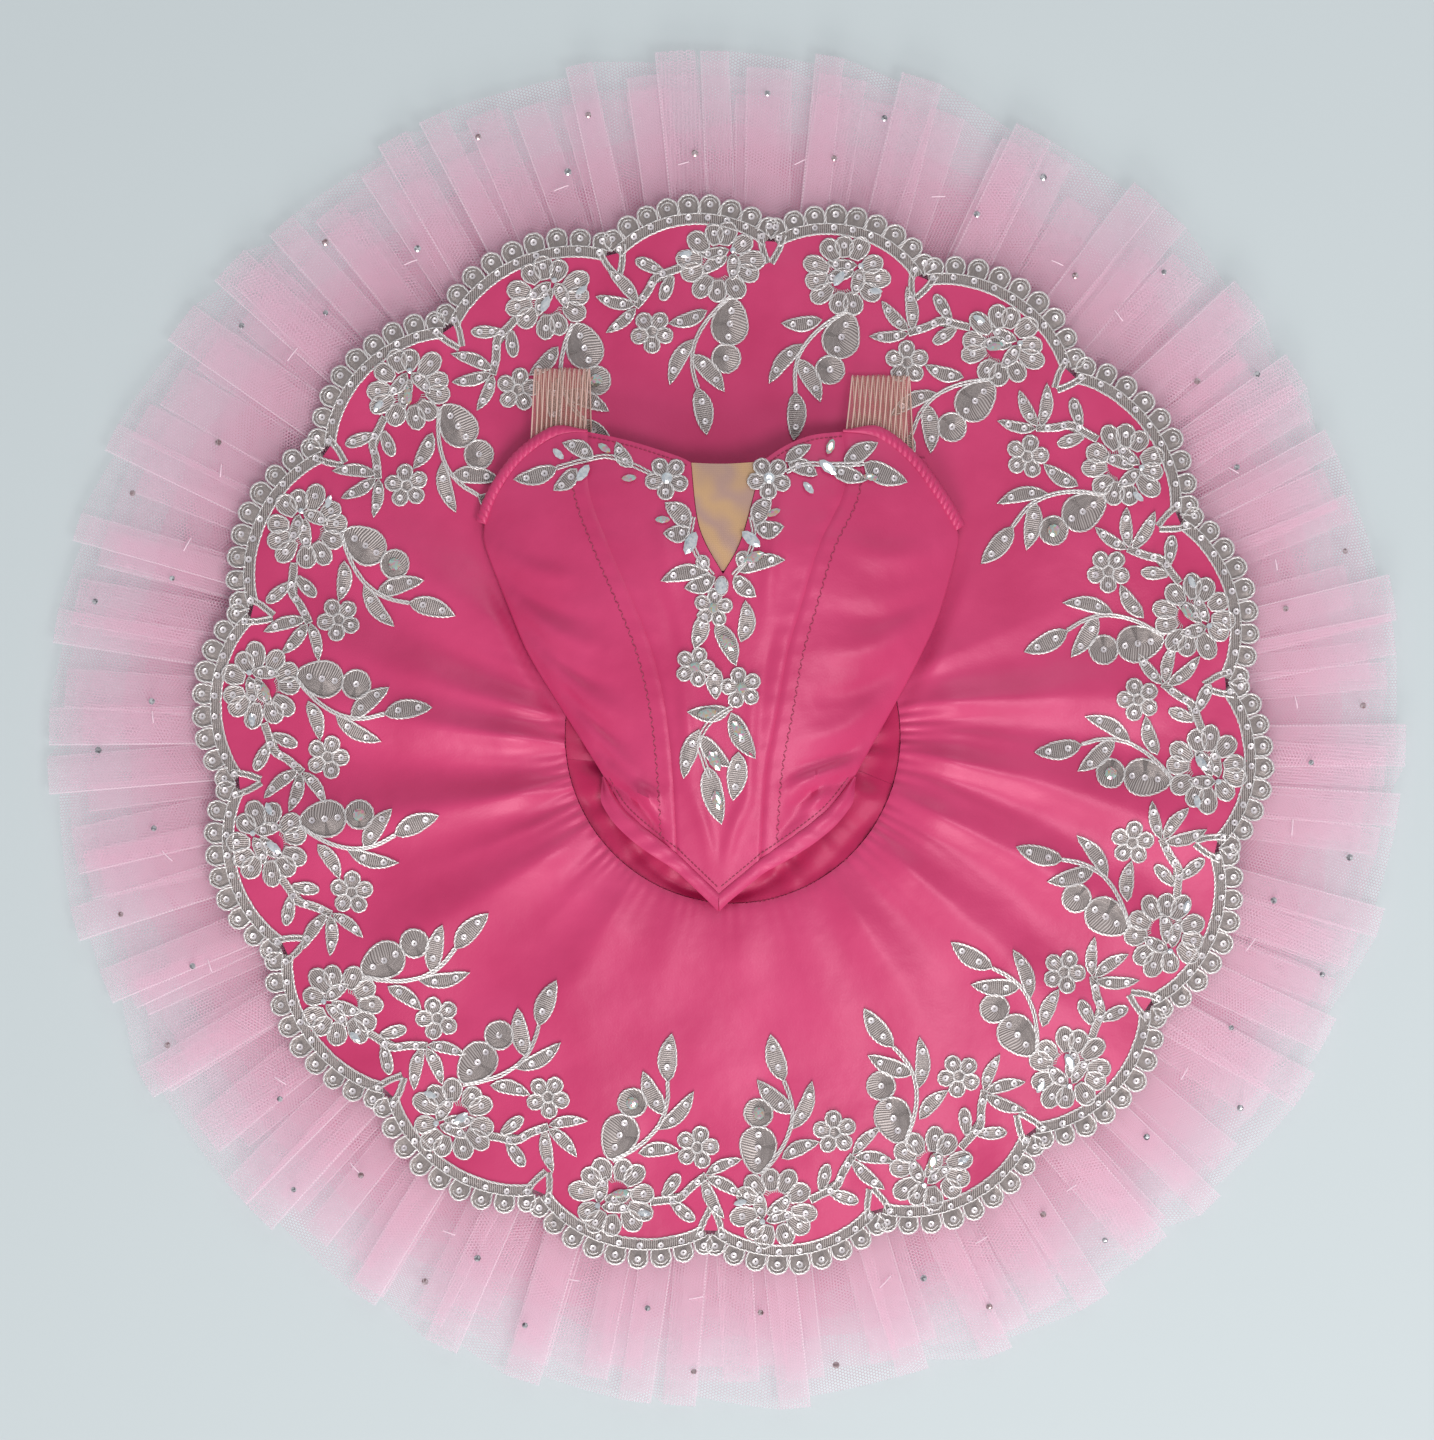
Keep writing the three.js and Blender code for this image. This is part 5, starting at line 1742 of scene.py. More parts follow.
@dataclass(frozen=True)
class BodiceForm:
    """The level of the bodice's front and back over the skirt."""

    skirt: SkirtForm
    creases: tuple[Crease, ...] = CREASES
    slack: float = 2.1  # how deep the creases go, as a share of their own heights

    def __post_init__(self) -> None:
        """Prepares the rounded edges and rise."""
        rows = BODICE_ROWS[::-1]
        levels = tuple(row[0] for row in rows)
        for name, column in (("left_edge", 1), ("right_edge", 4), ("swell", 5)):
            object.__setattr__(self, name, smooth_table(levels, tuple(row[column] for row in rows), 10))

    def front(self, x: Points, y: Points) -> Points:
        """The level of the front's middle, without creases."""
        edge = np.where(x < BODICE_AXIS, self.left_edge(y), self.right_edge(y))
        share = np.minimum(np.abs((x - BODICE_AXIS) / (edge - BODICE_AXIS)), 1)
        dome = (1 - share**2.4) ** 0.85
        return self.skirt.under(x, y) + FRONT_LIFT + self.swell(y) * dome

    def creased(self, x: Points, y: Points) -> Points:
        """The level of the front with its creases and slack."""
        height = np.zeros(np.broadcast(x, y).shape)
        for crease in self.creases:
            start, end = np.array(crease.start, float), np.array(crease.end, float)
            run = end - start
            length = np.hypot(*run)
            along = run / length
            share = np.clip(((x - start[0]) * along[0] + (y - start[1]) * along[1]) / length, 0, 1)
            bow = crease.bend * np.sin(np.pi * share)
            off_x = x - start[0] - run[0] * share + along[1] * bow
            off_y = y - start[1] - run[1] * share - along[0] * bow
            away = np.hypot(off_x, off_y) / crease.width
            fade = np.sin(np.pi * np.clip(share, 0.04, 0.96)) ** 0.6
            height += self.slack * crease.height * np.exp(-away**2 * 1.4) * fade
        height += 1.3 * bumpy(x, y, 66, 3.1) + 0.5 * bumpy(x, y, 24, 2.2)
        return self.front(x, y) + height

    def back(self, x: Points, y: Points) -> Points:
        """The level of the back's middle."""
        return self.skirt.under(x, y) + BACK_LIFT


@dataclass(frozen=True)
class Bodice:
    """The panels of the bodice, its casings, its waist bands and its stitching."""

    form: BodiceForm
    down: int = 64
    neck: int = 16
    plunge: int = 14
    casing_width: float = 7.6
    band_width: float = 9.0
    ruche: float = 4.6
    stitch: float = 2.3
    stitch_pitch: float = 3.3
    topstitch: float = 11.0
    back_top: float = 196.0
    back_scoop: float = 9.0
    back_length: float = 176.0
    back_steps: int = 24
    tucks: dict[str, float] = field(default_factory=lambda: {"left": 1.26, "right": 0.63})

    def build(self, finishes: Finishes) -> None:
        """Makes every piece of the bodice."""
        self._center(finishes)
        for side in ("left", "right"):
            self._side(side, finishes)
            self._casing(side, finishes)
            self._band(side, finishes)
            self._back(side, finishes)
        self._insert(finishes)
        self._stitches(finishes)

    def seam(self, side: str) -> Points:
        """The princess seam, from neckline to waist."""
        column = {"left": 2, "right": 3}[side]
        rows = [(row[column], row[0]) for row in BODICE_ROWS[:7]]
        return through([*rows, WAISTS[side][-1]], self.down)

    def _panel(self, name: str, edges: tuple, node: str, flat: tuple, area: float, finishes: Finishes,
               seams: tuple[bool, bool]) -> None:
        """Makes one front panel between its four edges.

        Args:
            name: the piece's name.
            edges: top, bottom, left and right edge.
            node: the solid that it stands for.
            flat: the size of its cut, in metres; not used.
            area: the area of its cut, in square metres; not used.
            finishes: the tutu's finishes.
            seams: whether the left and the right edge are seams, which sink in.
        """
        flat_grid = coons(*edges)
        x, y = flat_grid[..., 0], flat_grid[..., 1]
        height = self.form.creased(x, y)
        steps = np.linalg.norm(np.diff(flat_grid, axis=1), axis=-1)
        run = np.concatenate([np.zeros((len(x), 1)), np.cumsum(steps, axis=1)], axis=1)
        if seams[0]:
            height -= 1.1 * np.exp(-((run / 1.6) ** 2))
            height += 0.35 * np.sin(y / 2.6) * np.exp(-(((run - 6) / 5) ** 2))
        if seams[1]:
            back_run = run[:, -1:] - run
            height -= 1.1 * np.exp(-((back_run / 1.6) ** 2))
            height += 0.35 * np.sin(y / 2.6 + 1) * np.exp(-(((back_run - 6) / 5) ** 2))
        panel = Cutting()
        grid = np.concatenate([flat_grid, height[..., None]], axis=-1)
        if not seams[1]:
            grid = self._rolled(grid)
        panel.shell(grid, BODICE_WALL)
        piece = panel.build(name, [finishes.satin])
        dressed(piece, "satin", node)

    def _rolled(self, grid: Points) -> Points:
        """Turns the last column's edge down, where the side runs round to the back."""
        edge, before = grid[:, -1], grid[:, -3]
        way = edge[:, :2] - before[:, :2]
        way /= np.maximum(np.linalg.norm(way, axis=1, keepdims=True), 1e-9)
        columns = [grid]
        for out, down in ((0.8, 0.5), (1.2, 1.2), (0.9, 1.9)):
            moved = np.column_stack([edge[:, :2] + way * out, edge[:, 2] - down])
            columns.append(moved[:, None])
        return np.concatenate(columns, axis=1)

    def _center(self, finishes: Finishes) -> None:
        """The centre front, with its deep plunge."""
        left, right = self.seam("left") + (0.15, 0), self.seam("right") - (0.15, 0)
        tops = [through(NECKLINES["left"], self.neck), through(PLUNGES["left"], self.plunge)[1:],
                through(PLUNGES["right"], self.plunge)[1:], through(NECKLINES["right"], self.neck)[1:]]
        top = np.vstack(tops)
        top[0], top[-1] = left[0], right[0]
        parts = self.neck + self.plunge
        bottom = np.vstack([through([WAISTS["left"][-1], WAIST_TIP], parts),
                            through([WAIST_TIP, WAISTS["right"][-1]], parts)[1:]])
        bottom[0], bottom[-1] = left[-1], right[-1]
        self._panel("bodice_front_center", (top, bottom, left, right), "bodice_center_front",
                    (0.19, 0.34), 0.0335, finishes, (True, True))

    def _side(self, side: str, finishes: Finishes) -> None:
        """A side front, from the princess seam round to the side."""
        sign = SIGNS[side]
        seam = self.seam(side) + (sign * 0.15, 0)
        top = through(ARMHOLES[side], 44)
        waist = through(WAISTS[side], 44)[::-1].copy()
        column = {"left": 1, "right": 4}[side]
        edge = [ARMHOLES[side][-1], *[(row[column], row[0]) for row in BODICE_ROWS[2:6]], WAISTS[side][0]]
        top[0], waist[0] = seam[0], seam[-1]
        outer = through(edge, self.down)
        self._panel(f"bodice_front_{side}", (top, waist, seam, outer), f"bodice_side_{side}",
                    (0.12, 0.31), 0.0205, finishes, (True, False))

    def _back(self, side: str, finishes: Finishes) -> None:
        """Half of the back, flat under the front."""
        sign = SIGNS[side]
        levels = np.linspace(0, 1, self.back_steps)[:, None]
        across = np.linspace(0, 1, self.back_steps)[None]
        scoop = self.back_scoop * np.sin(np.pi / 2 * np.clip(1 - across * 2.2, 0, 1))
        y = self.back_top - scoop - levels * self.back_length
        reach = np.interp(y, (140, 152), (0.97, 0.86))
        edge = (self.form.left_edge if side == "left" else self.form.right_edge)(y)
        start = BODICE_AXIS + sign * 0.15
        x = start + (BODICE_AXIS + (edge - BODICE_AXIS) * reach - start) * across
        height = self.form.back(x, y) + 0.12 * np.sin(x / 9 + y / 14)
        back = Cutting()
        back.shell(np.stack([x, y, height], axis=-1), 1.0)
        piece = back.build(f"bodice_back_{side}_cloth", [finishes.satin])
        dressed(piece, "satin", f"bodice_back_{side}")

    def _insert(self, finishes: Finishes) -> None:
        """The skin-toned mesh in the plunge."""
        left = through(PLUNGES["left"], 30)[:-1]
        right = through(PLUNGES["right"][::-1], 30)[:-1]
        across = np.linspace(0, 1, 13)[None, :, None]
        flat = (left + (0.45, 0))[:, None] * (1 - across) + (right - (0.45, 0))[:, None] * across
        flat[0, :, 1] -= 1.2 * np.sin(np.pi * across[0, :, 0])
        x, y = flat[..., 0], flat[..., 1]
        sag = 0.6 * np.sin(np.pi * across[..., 0]) * soft_step(y, 112, 150)
        height = self.form.front(x, y) - 0.15 - sag + 0.2 * np.sin(x / 3 + y / 17)
        mesh = Cutting()
        mesh.shell(np.concatenate([flat, height[..., None]], axis=-1), 0.9)
        piece = mesh.build("plunge_mesh", [finishes.power_mesh])
        dressed(piece, "mesh", "mesh_insert")

    def _casing(self, side: str, finishes: Finishes) -> None:
        """The ruched casing round an armhole: small even puckers over an elastic."""
        sign = SIGNS[side]
        line = through(ARMHOLES[side], 260)
        run = np.concatenate([[0], np.cumsum(np.linalg.norm(np.diff(line, axis=0), axis=1))])
        share = np.linspace(0, 1, 11)
        ease = soft_step(run, 4, 46)
        rows = []
        for part in share:
            puckers = np.abs(np.sin(np.pi * (run / self.ruche + 0.8 * part) + 0.5 * np.sin(run / 17)))
            arch = np.sin(np.pi * part) ** 0.7
            swell = 0.5 * (1 - puckers) * ease * (part > 0.9)
            width = 0.3 + (self.casing_width - 0.3) * (0.15 + 0.85 * soft_step(run, 0, 26))
            side_line = beside(line, sign * (0.3 + width * part - swell))
            height = self.form.front(*line.T) + arch * (1.2 + 1.1 * puckers * ease) - 1.3 * part
            rows.append(np.column_stack([side_line, height]))
        casing = Cutting()
        casing.shell(np.stack(rows), 0.9)
        piece = casing.build(f"armhole_casing_{side}_ruched", [finishes.satin])
        dressed(piece, "satin", f"armhole_casing_{side}")

    def _band(self, side: str, finishes: Finishes) -> None:
        """The folded band along the pointed waist, with the wrinkles that the fold pushes up."""
        sign = SIGNS[side]
        line = np.vstack([through(WAISTS[side], 60), through([WAISTS[side][-1], WAIST_TIP], 40)[1:]])
        line = respaced(line, 110) + (sign * 0.15, 0)
        run = np.linspace(0, 1, len(line))
        rows = []
        for part in np.linspace(0, 1, 13):
            taper = soft_step(run, -0.04, 0.14) * (1 + 0.45 * np.sin(np.pi * np.clip(run / 0.75, 0, 1)))
            offset = beside(line, sign * (0.6 + (self.band_width - 0.6) * part * taper))
            drop = np.hypot(*(offset[-1] - line[-1]))
            miter = soft_step(run, 0.86, 1.0)
            offset[:, 0] += (line[-1, 0] - offset[:, 0]) * miter * (run == 1.0)
            offset[-1, 1] = line[-1, 1] - drop * np.sqrt(2)
            arch = np.sin(np.pi * part) ** 0.6 * 1.5
            tuck = self.tucks[side] * np.sin(np.pi * 2 * part) * (1 - soft_step(run, 0.1, 0.6))
            ripple = 0.35 * np.sin(run * 46 + part * 3) * np.sin(np.pi * run)
            sunk = 2.2 * (1 - soft_step(run, 0, 0.1))
            height = self.form.front(*line.T) + 0.6 + arch + tuck + ripple - 1.6 * part - sunk
            rows.append(np.column_stack([offset, height]))
        band = Cutting()
        band.shell(np.stack(rows), 1.2)
        piece = band.build(f"waist_band_{side}_cloth", [finishes.satin])
        dressed(piece, "satin", f"waist_band_{side}")

    def _stitches(self, finishes: Finishes) -> None:
        """Every row of topstitching as real stitches."""
        sewing = Cutting()
        for side in ("left", "right"):
            sign = SIGNS[side]
            seam = self.seam(side)
            self._row(sewing, beside(seam, sign * self.topstitch)[4:-3], 0.75)
            tip = through([WAISTS[side][-1], WAIST_TIP], 30)
            waist = respaced(np.vstack([through(WAISTS[side], 40), tip[1:]]), 90)
            self._row(sewing, beside(waist, -sign * 2.6)[3:-4], 0.0)
        neck = np.vstack([through(NECKLINES["left"], 30), through(NECKLINES["right"], 30)])
        for part in (neck[:31], neck[31:]):
            self._row(sewing, beside(part, -3.2)[1:-1], 0.0)
        piece = sewing.build("bodice_topstitching", [finishes.stitch])
        dressed(piece, "satin")

    def _row(self, sewing: Cutting, line: Points, sway: float) -> None:
        """Adds a row of stitches on the front along a flat line, zigzag where they sway."""
        length = np.linalg.norm(np.diff(line, axis=0), axis=1).sum()
        spots = respaced(line, int(length / self.stitch_pitch))
        runs = np.gradient(spots, axis=0)
        runs /= np.linalg.norm(runs, axis=1, keepdims=True)
        for index, (spot, run) in enumerate(zip(spots, runs)):
            across = np.array([-run[1], run[0]]) * sway * (1 if index % 2 else -1)
            half = run * self.stitch / 2 + across
            ends = np.stack([spot - half, spot, spot + half])
            level = self.form.creased(*ends.T) + BODICE_WALL / 2 + np.array([-0.05, 0.3, -0.05])
            sewing.tube(np.column_stack([ends, level]), 0.42, 5)


@dataclass(frozen=True)
class Basque:
    """The hip yoke between the hip seam and the bodice's waist, deep in shadow; its satin is painted darker
    for that shade.
    """

    form: BodiceForm
    radius: float = 120.5
    dip: float = 6.5
    under: float = 3.2
    tuck: float = 1.5  # height of the folds that lie along the waist
    seams: Spot = (188.0, 343.0)
    front_edge: tuple = ((-80, -24), (-44, -66), (-6, -102), (34, -70), (82, -24))
    back_edge: tuple = ((82.1, -23.7), (62, 14), (0, 24), (-64, 14), (-80.1, -23.7))
    columns: int = 150
    rows: int = 26
    stitches: int = 236
    covered: Spot = (28.0, 152.0)  # the bodice lies over the stitches between these angles

    def build(self, finishes: Finishes) -> None:
        """Makes the front and the back of the basque, and the hip seam's stitching."""
        top = PLATE_HEIGHTS[1] - CLOTH
        front = self._grid(self.seams[0] + 0.03, self.seams[1] - 0.03, self.front_edge, self.dip,
                           self._front_rim)
        back = self._grid(self.seams[1] - 359.97, self.seams[0] - 0.03, self.back_edge, self.dip / 4,
                          lambda x, y: np.full(x.shape, top - 1.0))
        for name, node, grid, area in (("basque_front_cloth", "basque_front", front, 0.0165),
                                       ("basque_back_cloth", "basque_back", back, 0.0245)):
            cloth = Cutting()
            cloth.shell(grid, CLOTH)
            # painted shade: both halves of the basque take the darker satin
            piece = cloth.build(name, [finishes.basque])
            dressed(piece, "satin", node)
        self._seam(finishes)

    def _front_rim(self, x: Points, y: Points) -> Points:
        """The front's inner edge: under the bodice, and down on the back's edge at both side seams."""
        along = np.linspace(0, 1, len(x))
        free = soft_step(np.minimum(along, 1 - along), 0.0, 0.08)
        low = PLATE_HEIGHTS[1] - CLOTH - 1.0
        return low + (self.form.front(x, y) - self.under - low) * free

    def _grid(self, start: float, end: float, edge: tuple, dip: float, level: Callable) -> Points:
        """The yoke's points, rows from the hip seam in to the waist."""
        inner = through(edge, self.columns)
        angle = np.linspace(start, end, self.columns + 1)
        outer = turned(angle) * self.radius + HIP
        top = PLATE_HEIGHTS[1] - CLOTH
        share = np.linspace(0, 1, self.rows)[:, None]
        flat = outer[None] + (inner - outer)[None] * share[..., None]
        rim = level(inner[:, 0], inner[:, 1])
        along = np.linspace(0, 1, self.columns + 1)
        ease = soft_step(np.minimum(along, 1 - along), 0, 0.14)[None]
        dip = self.dip / 4 + (dip - self.dip / 4) * ease
        height = top + (rim - top)[None] * share - dip * np.sin(np.pi * share)
        drag = np.sin(np.radians(angle) * 21 + 2 * np.sin(np.radians(angle) * 5)) * 0.9
        drag = drag + np.sin(np.radians(angle) * 43 + 1) * 0.35
        height = height + drag[None] * np.sin(np.pi * share) ** 0.8
        swing = np.sin(np.radians(angle) * 3 + 0.6)[None]
        tuck = np.sin(np.pi * (3.4 * share**0.8 + 0.9 * swing)) * np.sin(np.pi * share)
        height = height + self.tuck * dip / self.dip * tuck
        return np.concatenate([flat, height[..., None]], axis=-1)

    def _seam(self, finishes: Finishes) -> None:
        """The hip seam's overlocked stitches, in the groove between basque and skirt."""
        sewing = Cutting()
        for index in range(self.stitches):
            angle = index * 360 / self.stitches
            if self.covered[0] < angle < self.covered[1]:
                continue
            way, side = turned(angle), turned(angle + 90)
            middle = way * (HIP_RADIUS - 0.1) + HIP
            ends = np.stack([middle - side * 0.9 - way * 0.5, middle, middle + side * 0.9 + way * 0.5])
            sewing.tube(np.column_stack([ends, np.array([49.9, 50.4, 49.9])]), 0.4, 4)
        piece = sewing.build("hip_seam_stitching", [finishes.stitch])
        dressed(piece, "satin")


@dataclass(frozen=True)
class Strap:
    """A ribbed elastic strap that folds over and runs back under itself."""

    form: BodiceForm
    side: str
    start: float
    end: float
    fold: float
    skew: float
    ribs: int = 12
    rib: float = 0.5
    ground: float = 0.5
    selvedge: float = 0.6
    woven: float = 42.0  # width that the cross threads are drawn to
    columns: int = 25

    def build(self, finishes: Finishes) -> None:
        """Makes the sheer ground and the ribs on it."""
        places = np.linspace(self.start, self.end, self.columns)
        grid = np.stack([self._run(x) for x in places], axis=1)
        middle = grid[:, self.columns // 2]
        length = np.linalg.norm(np.diff(middle, axis=0), axis=1).sum()
        down = np.linspace(0, length, len(grid))
        across = np.linspace(0, self.woven, self.columns)
        cloth = np.stack(np.broadcast_arrays(across[None], down[:, None]), axis=-1)
        strap = Cutting()
        strap.shell(grid, self.ground, cloth)
        piece = strap.build(f"strap_{self.side}_ground", [finishes.sheer])
        dressed(piece, "elastic", f"strap_{self.side}")
        ribs = Cutting()
        for x in np.linspace(self.start + self.selvedge, self.end - self.selvedge, self.ribs):
            ribs.tube(self._run(x) + (0, 0, self.ground / 2), self.rib, 6)
        rib_piece = ribs.build(f"strap_{self.side}_ribs", [finishes.rib])
        dressed(rib_piece, "elastic")

    def _run(self, x: float) -> Points:
        """The strap's own line at one place across it, as many points along it."""
        arm = np.array(sorted(ARMHOLES[self.side]), float)
        begin = float(np.interp(x, arm[:, 0], arm[:, 1])) + 1
        under = self.form.skirt.under
        level = float(under(np.float64(x), np.float64(self.fold))) + BACK_LIFT
        rise = float(self.form.front(np.float64(x), np.float64(begin))) - 3
        sway = 0.5 * np.sin(x / 5)
        points = (
            (x, begin, rise), (x + self.skew * 0.3, (begin + self.fold) / 2, level + 12 + sway),
            (x + self.skew * 0.5, self.fold - 5, level + 8), (x + self.skew * 0.6, self.fold, level + 4),
            (x + self.skew * 0.7, self.fold - 5, level),
            (x + self.skew, 197, float(under(np.float64(x), np.float64(196))) + BACK_LIFT),
        )
        return through(points, 40)


def navette(x: float, y: float, length: float, angle: float, aurora: bool = False) -> Stone:
    """A boat-shaped stone at a place on the bodice."""
    return Stone((x, y), length, Gem.NAVETTE, angle, aurora)


@dataclass(frozen=True)
class Blossom:
    """A small flower with a round stone in its middle."""

    at: Spot
    radius: float
    aurora: bool


@dataclass(frozen=True)
class Spray:
    """One spray of lace on the bodice: its stem, what grows on it, and the cut of its organza."""

    node: str
    stem: tuple[Spot, ...]
    leaves: tuple[Leaf, ...]
    stones: tuple[Stone, ...]
    flat: Spot
    covered: float
    blossoms: tuple[Blossom, ...] = ()


SPRAYS = (
    Spray(
        "lace_neck_left",
        stem=((-122, 188), (-104, 193), (-84, 196), (-64, 188), (-54, 183)),
        leaves=(Leaf((-122, 188), (-153, 180), 10, 2, 2), Leaf((-108, 187), (-124, 172), 9, 2, 2),
                Leaf((-96, 195), (-118, 206), 9, 2, -2), Leaf((-68, 188), (-79, 206), 8, 2, 2)),
        blossoms=(Blossom((-43, 180), 15.5, False),),
        stones=(navette(-103, 184, 12, 55), navette(-121, 198, 9, -45), navette(-88, 202, 9, -35, True),
                navette(-70, 180, 9, 5, True)),
        flat=(0.118, 0.034), covered=0.31),
    Spray(
        "lace_neck_right",
        stem=((98, 191), (84, 190), (70, 190), (54, 190), (42, 184)),
        leaves=(Leaf((98, 191), (129, 178), 12, 2, -2), Leaf((84, 189), (108, 206), 10, 2, 2),
                Leaf((74, 188), (100, 179), 9, 2, -1), Leaf((44, 190), (64, 182), 9, 2, 2),
                Leaf((42, 192), (60, 204), 7, 1, 1)),
        blossoms=(Blossom((30, 180), 15.5, False),),
        stones=(navette(72, 188, 13, -40), navette(74, 203, 10, 70, True), navette(58, 173, 9, -50),
                navette(103, 181, 9, -15, True)),
        flat=(0.112, 0.036), covered=0.36),
    Spray(
        "lace_plunge_left",
        stem=((-24, 152), (-26, 138), (-20, 122), (-10, 110)),
        leaves=(Leaf((-27, 145), (-44, 162), 11, 2, -2), Leaf((-27, 143), (-45, 140), 10, 2, 2),
                Leaf((-20, 124), (-14, 114), 7, 1, 0), Leaf((-14, 112), (-47, 106), 9, 2, -3),
                Leaf((-9, 109), (-30, 101), 10, 2, 2)),
        stones=(navette(-46, 150, 9, 0, True), navette(-26, 133, 15, 65)),
        flat=(0.034, 0.063), covered=0.34),
    Spray(
        "lace_plunge_right",
        stem=((17, 152), (19, 138), (14, 122), (4, 110)),
        leaves=(Leaf((20, 146), (31, 166), 10, 2, 2), Leaf((20, 144), (40, 145), 10, 2, -2),
                Leaf((13, 127), (8, 117), 7, 1, 0), Leaf((8, 113), (41, 121), 9, 2, 3),
                Leaf((5, 109), (20, 95), 9, 2, -1)),
        stones=(navette(33, 155, 9, 25, True), navette(17, 136, 14, -40), navette(19, 123, 13, 25, True)),
        flat=(0.036, 0.06), covered=0.32),
    Spray(
        "lace_center_spray",
        stem=((3, 16), (-12, 6), (-20, -8), (-16, -24), (-12, -34)),
        leaves=(Leaf((-17, 82), (-23, 58), 9, 2, 1), Leaf((10, 63), (13, 92), 9, 2, -3),
                Leaf((-8, 76), (6, 46), 10, 1, 2), Leaf((-8, 44), (-8, 22), 9, 2, -1),
                Leaf((2, 14), (-28, 13), 9, 0, 2), Leaf((3, 12), (20, -20), 11, 1, -2),
                Leaf((-20, 0), (-31, -34), 9, 2, -2), Leaf((-19, -4), (2, -26), 9, 1, -2),
                Leaf((8, -16), (4, -50), 11, 2, 1), Leaf((-14, -26), (-4, -67), 12, 1, -1)),
        blossoms=(Blossom((-10, 87), 13.5, True), Blossom((-23, 45), 14.0, True),
                  Blossom((10, 30), 14.5, True)),
        stones=(navette(0, 62, 12, -50, True), navette(-14, 12, 12, 8, True), navette(8, 0, 13, -55, True),
                navette(-9, -22, 13, -60, True), navette(-7, -50, 12, -75, True)),
        flat=(0.053, 0.172), covered=0.38),
)


@dataclass(frozen=True)
class BodiceLace:
    """The sprays on the bodice and the oval crystal under the plunge."""

    form: BodiceForm
    crystal_at: Spot = (-4, 102.5)
    crystal_length: float = 12.4
    setting: Spot = (4.6, 6.6)
    stem_gap: float = 2.2
    leaf_fullness: float = 1.22
    stone_fullness: float = 1.2

    def build(self, finishes: Finishes) -> None:
        """Makes every spray, then the crystal."""
        for order, spray in enumerate(SPRAYS):
            maker = LaceMaker(self._place, 700 + order)
            maker.stem(spray.stem, self.stem_gap)
            for leaf in spray.leaves:
                maker.leaf(replace(leaf, width=leaf.width * self.leaf_fullness))
            for blossom in spray.blossoms:
                stone = Stone(blossom.at, blossom.radius / 2, Gem.ROUND, 0, blossom.aurora)
                maker.flower(blossom.at, blossom.radius, 20 + blossom.at[0], stone)
            for stone in spray.stones:
                maker.stone(replace(stone, length=stone.length * self.stone_fullness), 1.4)
            maker.finish(f"{spray.node}_spray", spray.node, finishes, spray.flat, spray.covered,
                         ["bodice_front_center"])
        self._crystal(finishes)

    def _place(self, points: Points) -> Points:
        """Lays flat points on the bodice's front."""
        x, y = points[:, 0], points[:, 1]
        height = np.maximum(self.form.creased(x, y), self.form.front(x, y)) + BODICE_WALL / 2 + 0.1
        return np.column_stack([points[:, :2], height + points[:, 2]])

    def _crystal(self, finishes: Finishes) -> None:
        """The large oval crystal in its cupped setting."""
        maker = LaceMaker(self._place, 750)
        maker.stone(Stone(self.crystal_at, self.crystal_length, Gem.OVAL, 90), 1.4)
        around = np.linspace(0, 360, 24, endpoint=False)
        rim = turned(around) * self.setting + self.crystal_at
        maker.cord(rim, closed=True, lift=1.5, radius=0.5)
        piece = maker.beads.build("oval_crystal", finishes.sewn_on())
        dressed(piece, "crystal", "center_crystal")


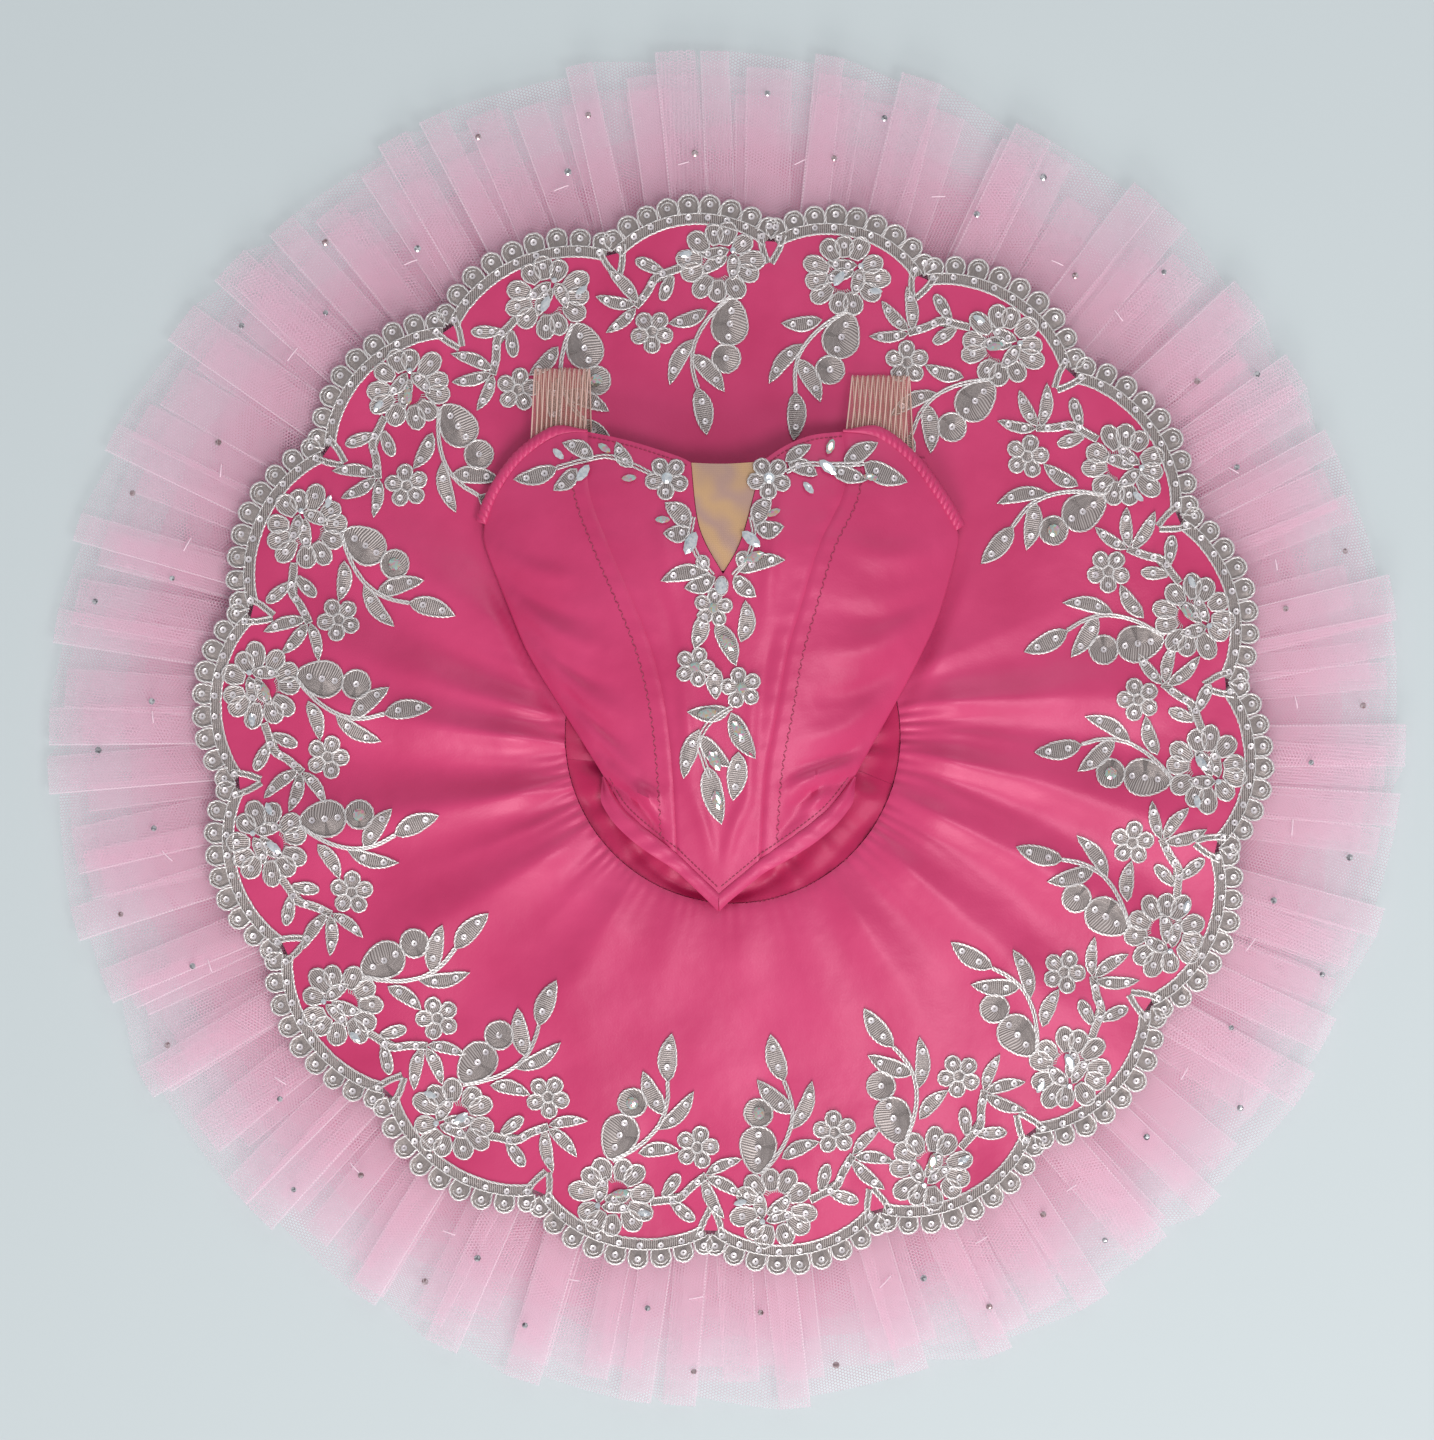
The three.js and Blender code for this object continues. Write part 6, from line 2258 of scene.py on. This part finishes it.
@dataclass(frozen=True)
class NetTrim:
    """The small stones glued on the top net, and the threads that tack the nets together."""

    net: NetLayer
    rings: tuple[tuple[float, int, float], ...] = ((463, 26, 4.0), (421, 26, 11.0))
    stone: float = 4.6
    tack_radius: float = 414.0
    tacks: int = 27

    def build(self, finishes: Finishes) -> None:
        """Makes the stones, then the tacks."""
        chance = np.random.default_rng(11)
        maker = LaceMaker(None, 12)
        for radius, count, first in self.rings:
            for index in range(count):
                angle = first + (index + 0.35 * (chance.random() - 0.5)) * 360 / count
                reach = radius + 12 * (chance.random() - 0.5)
                at = turned(angle) * reach
                level = self.net.top_height(reach)
                size = self.stone * (0.85 + 0.3 * chance.random())
                maker.stone(Stone(tuple(at), size, Gem.ROUND, 0, chance.random() < 0.35), level + 0.9)
        materials = [finishes.cord, finishes.sequin, finishes.smoke, finishes.warm_smoke]
        dressed(maker.beads.build("net_stones", materials), "crystal")
        threads = Cutting()
        for index in range(self.tacks):
            angle = (index + 0.5 * chance.random()) * 360 / self.tacks
            reach = self.tack_radius + 8 * (chance.random() - 0.5)
            at = turned(angle) * reach
            way = turned(angle + 90 + 50 * (chance.random() - 0.3))
            half = 4 + 2.2 * chance.random()
            line = np.stack([at - way * half, at, at + way * half])
            level = self.net.top_height(reach)
            height = np.array([level + 0.5, level + 1.6, level + 0.8])
            threads.tube(through(np.column_stack([line, height]), 6), 0.42, 5)
        dressed(threads.build("net_tacks", [finishes.tack]), "tulle")


def main() -> None:
    """Builds the scene, sub-assembly by sub-assembly."""
    logging.basicConfig(level=logging.INFO, format="%(name)s: %(message)s")
    Studio().build()
    finishes = Finishes()
    nets = (
        NetLayer("net_top", "net_layer_top", 500, 0, 0),
        NetLayer("net_middle", "net_layer_middle", 487, 2.6, 3),
        NetLayer("net_lower", "net_layer_lower", 474, 5.2, 5),
    )
    for net in nets:
        net.build(finishes)
    NetStack().build(finishes)
    FoldedPanty().build(finishes)
    skirt = SkirtForm()
    TopSkirt(skirt).build(finishes)
    LaceBorder(skirt).build(finishes)
    LaceMotifs(skirt).build(finishes)
    bodice = BodiceForm(skirt)
    Basque(bodice).build(finishes)
    Bodice(bodice).build(finishes)
    Strap(bodice, "left", -142, -102, 260, 5).build(finishes)
    Strap(bodice, "right", 85, 127, 255, 8).build(finishes)
    BodiceLace(bodice).build(finishes)
    NetTrim(nets[0]).build(finishes)


if __name__ == "__main__":
    main()
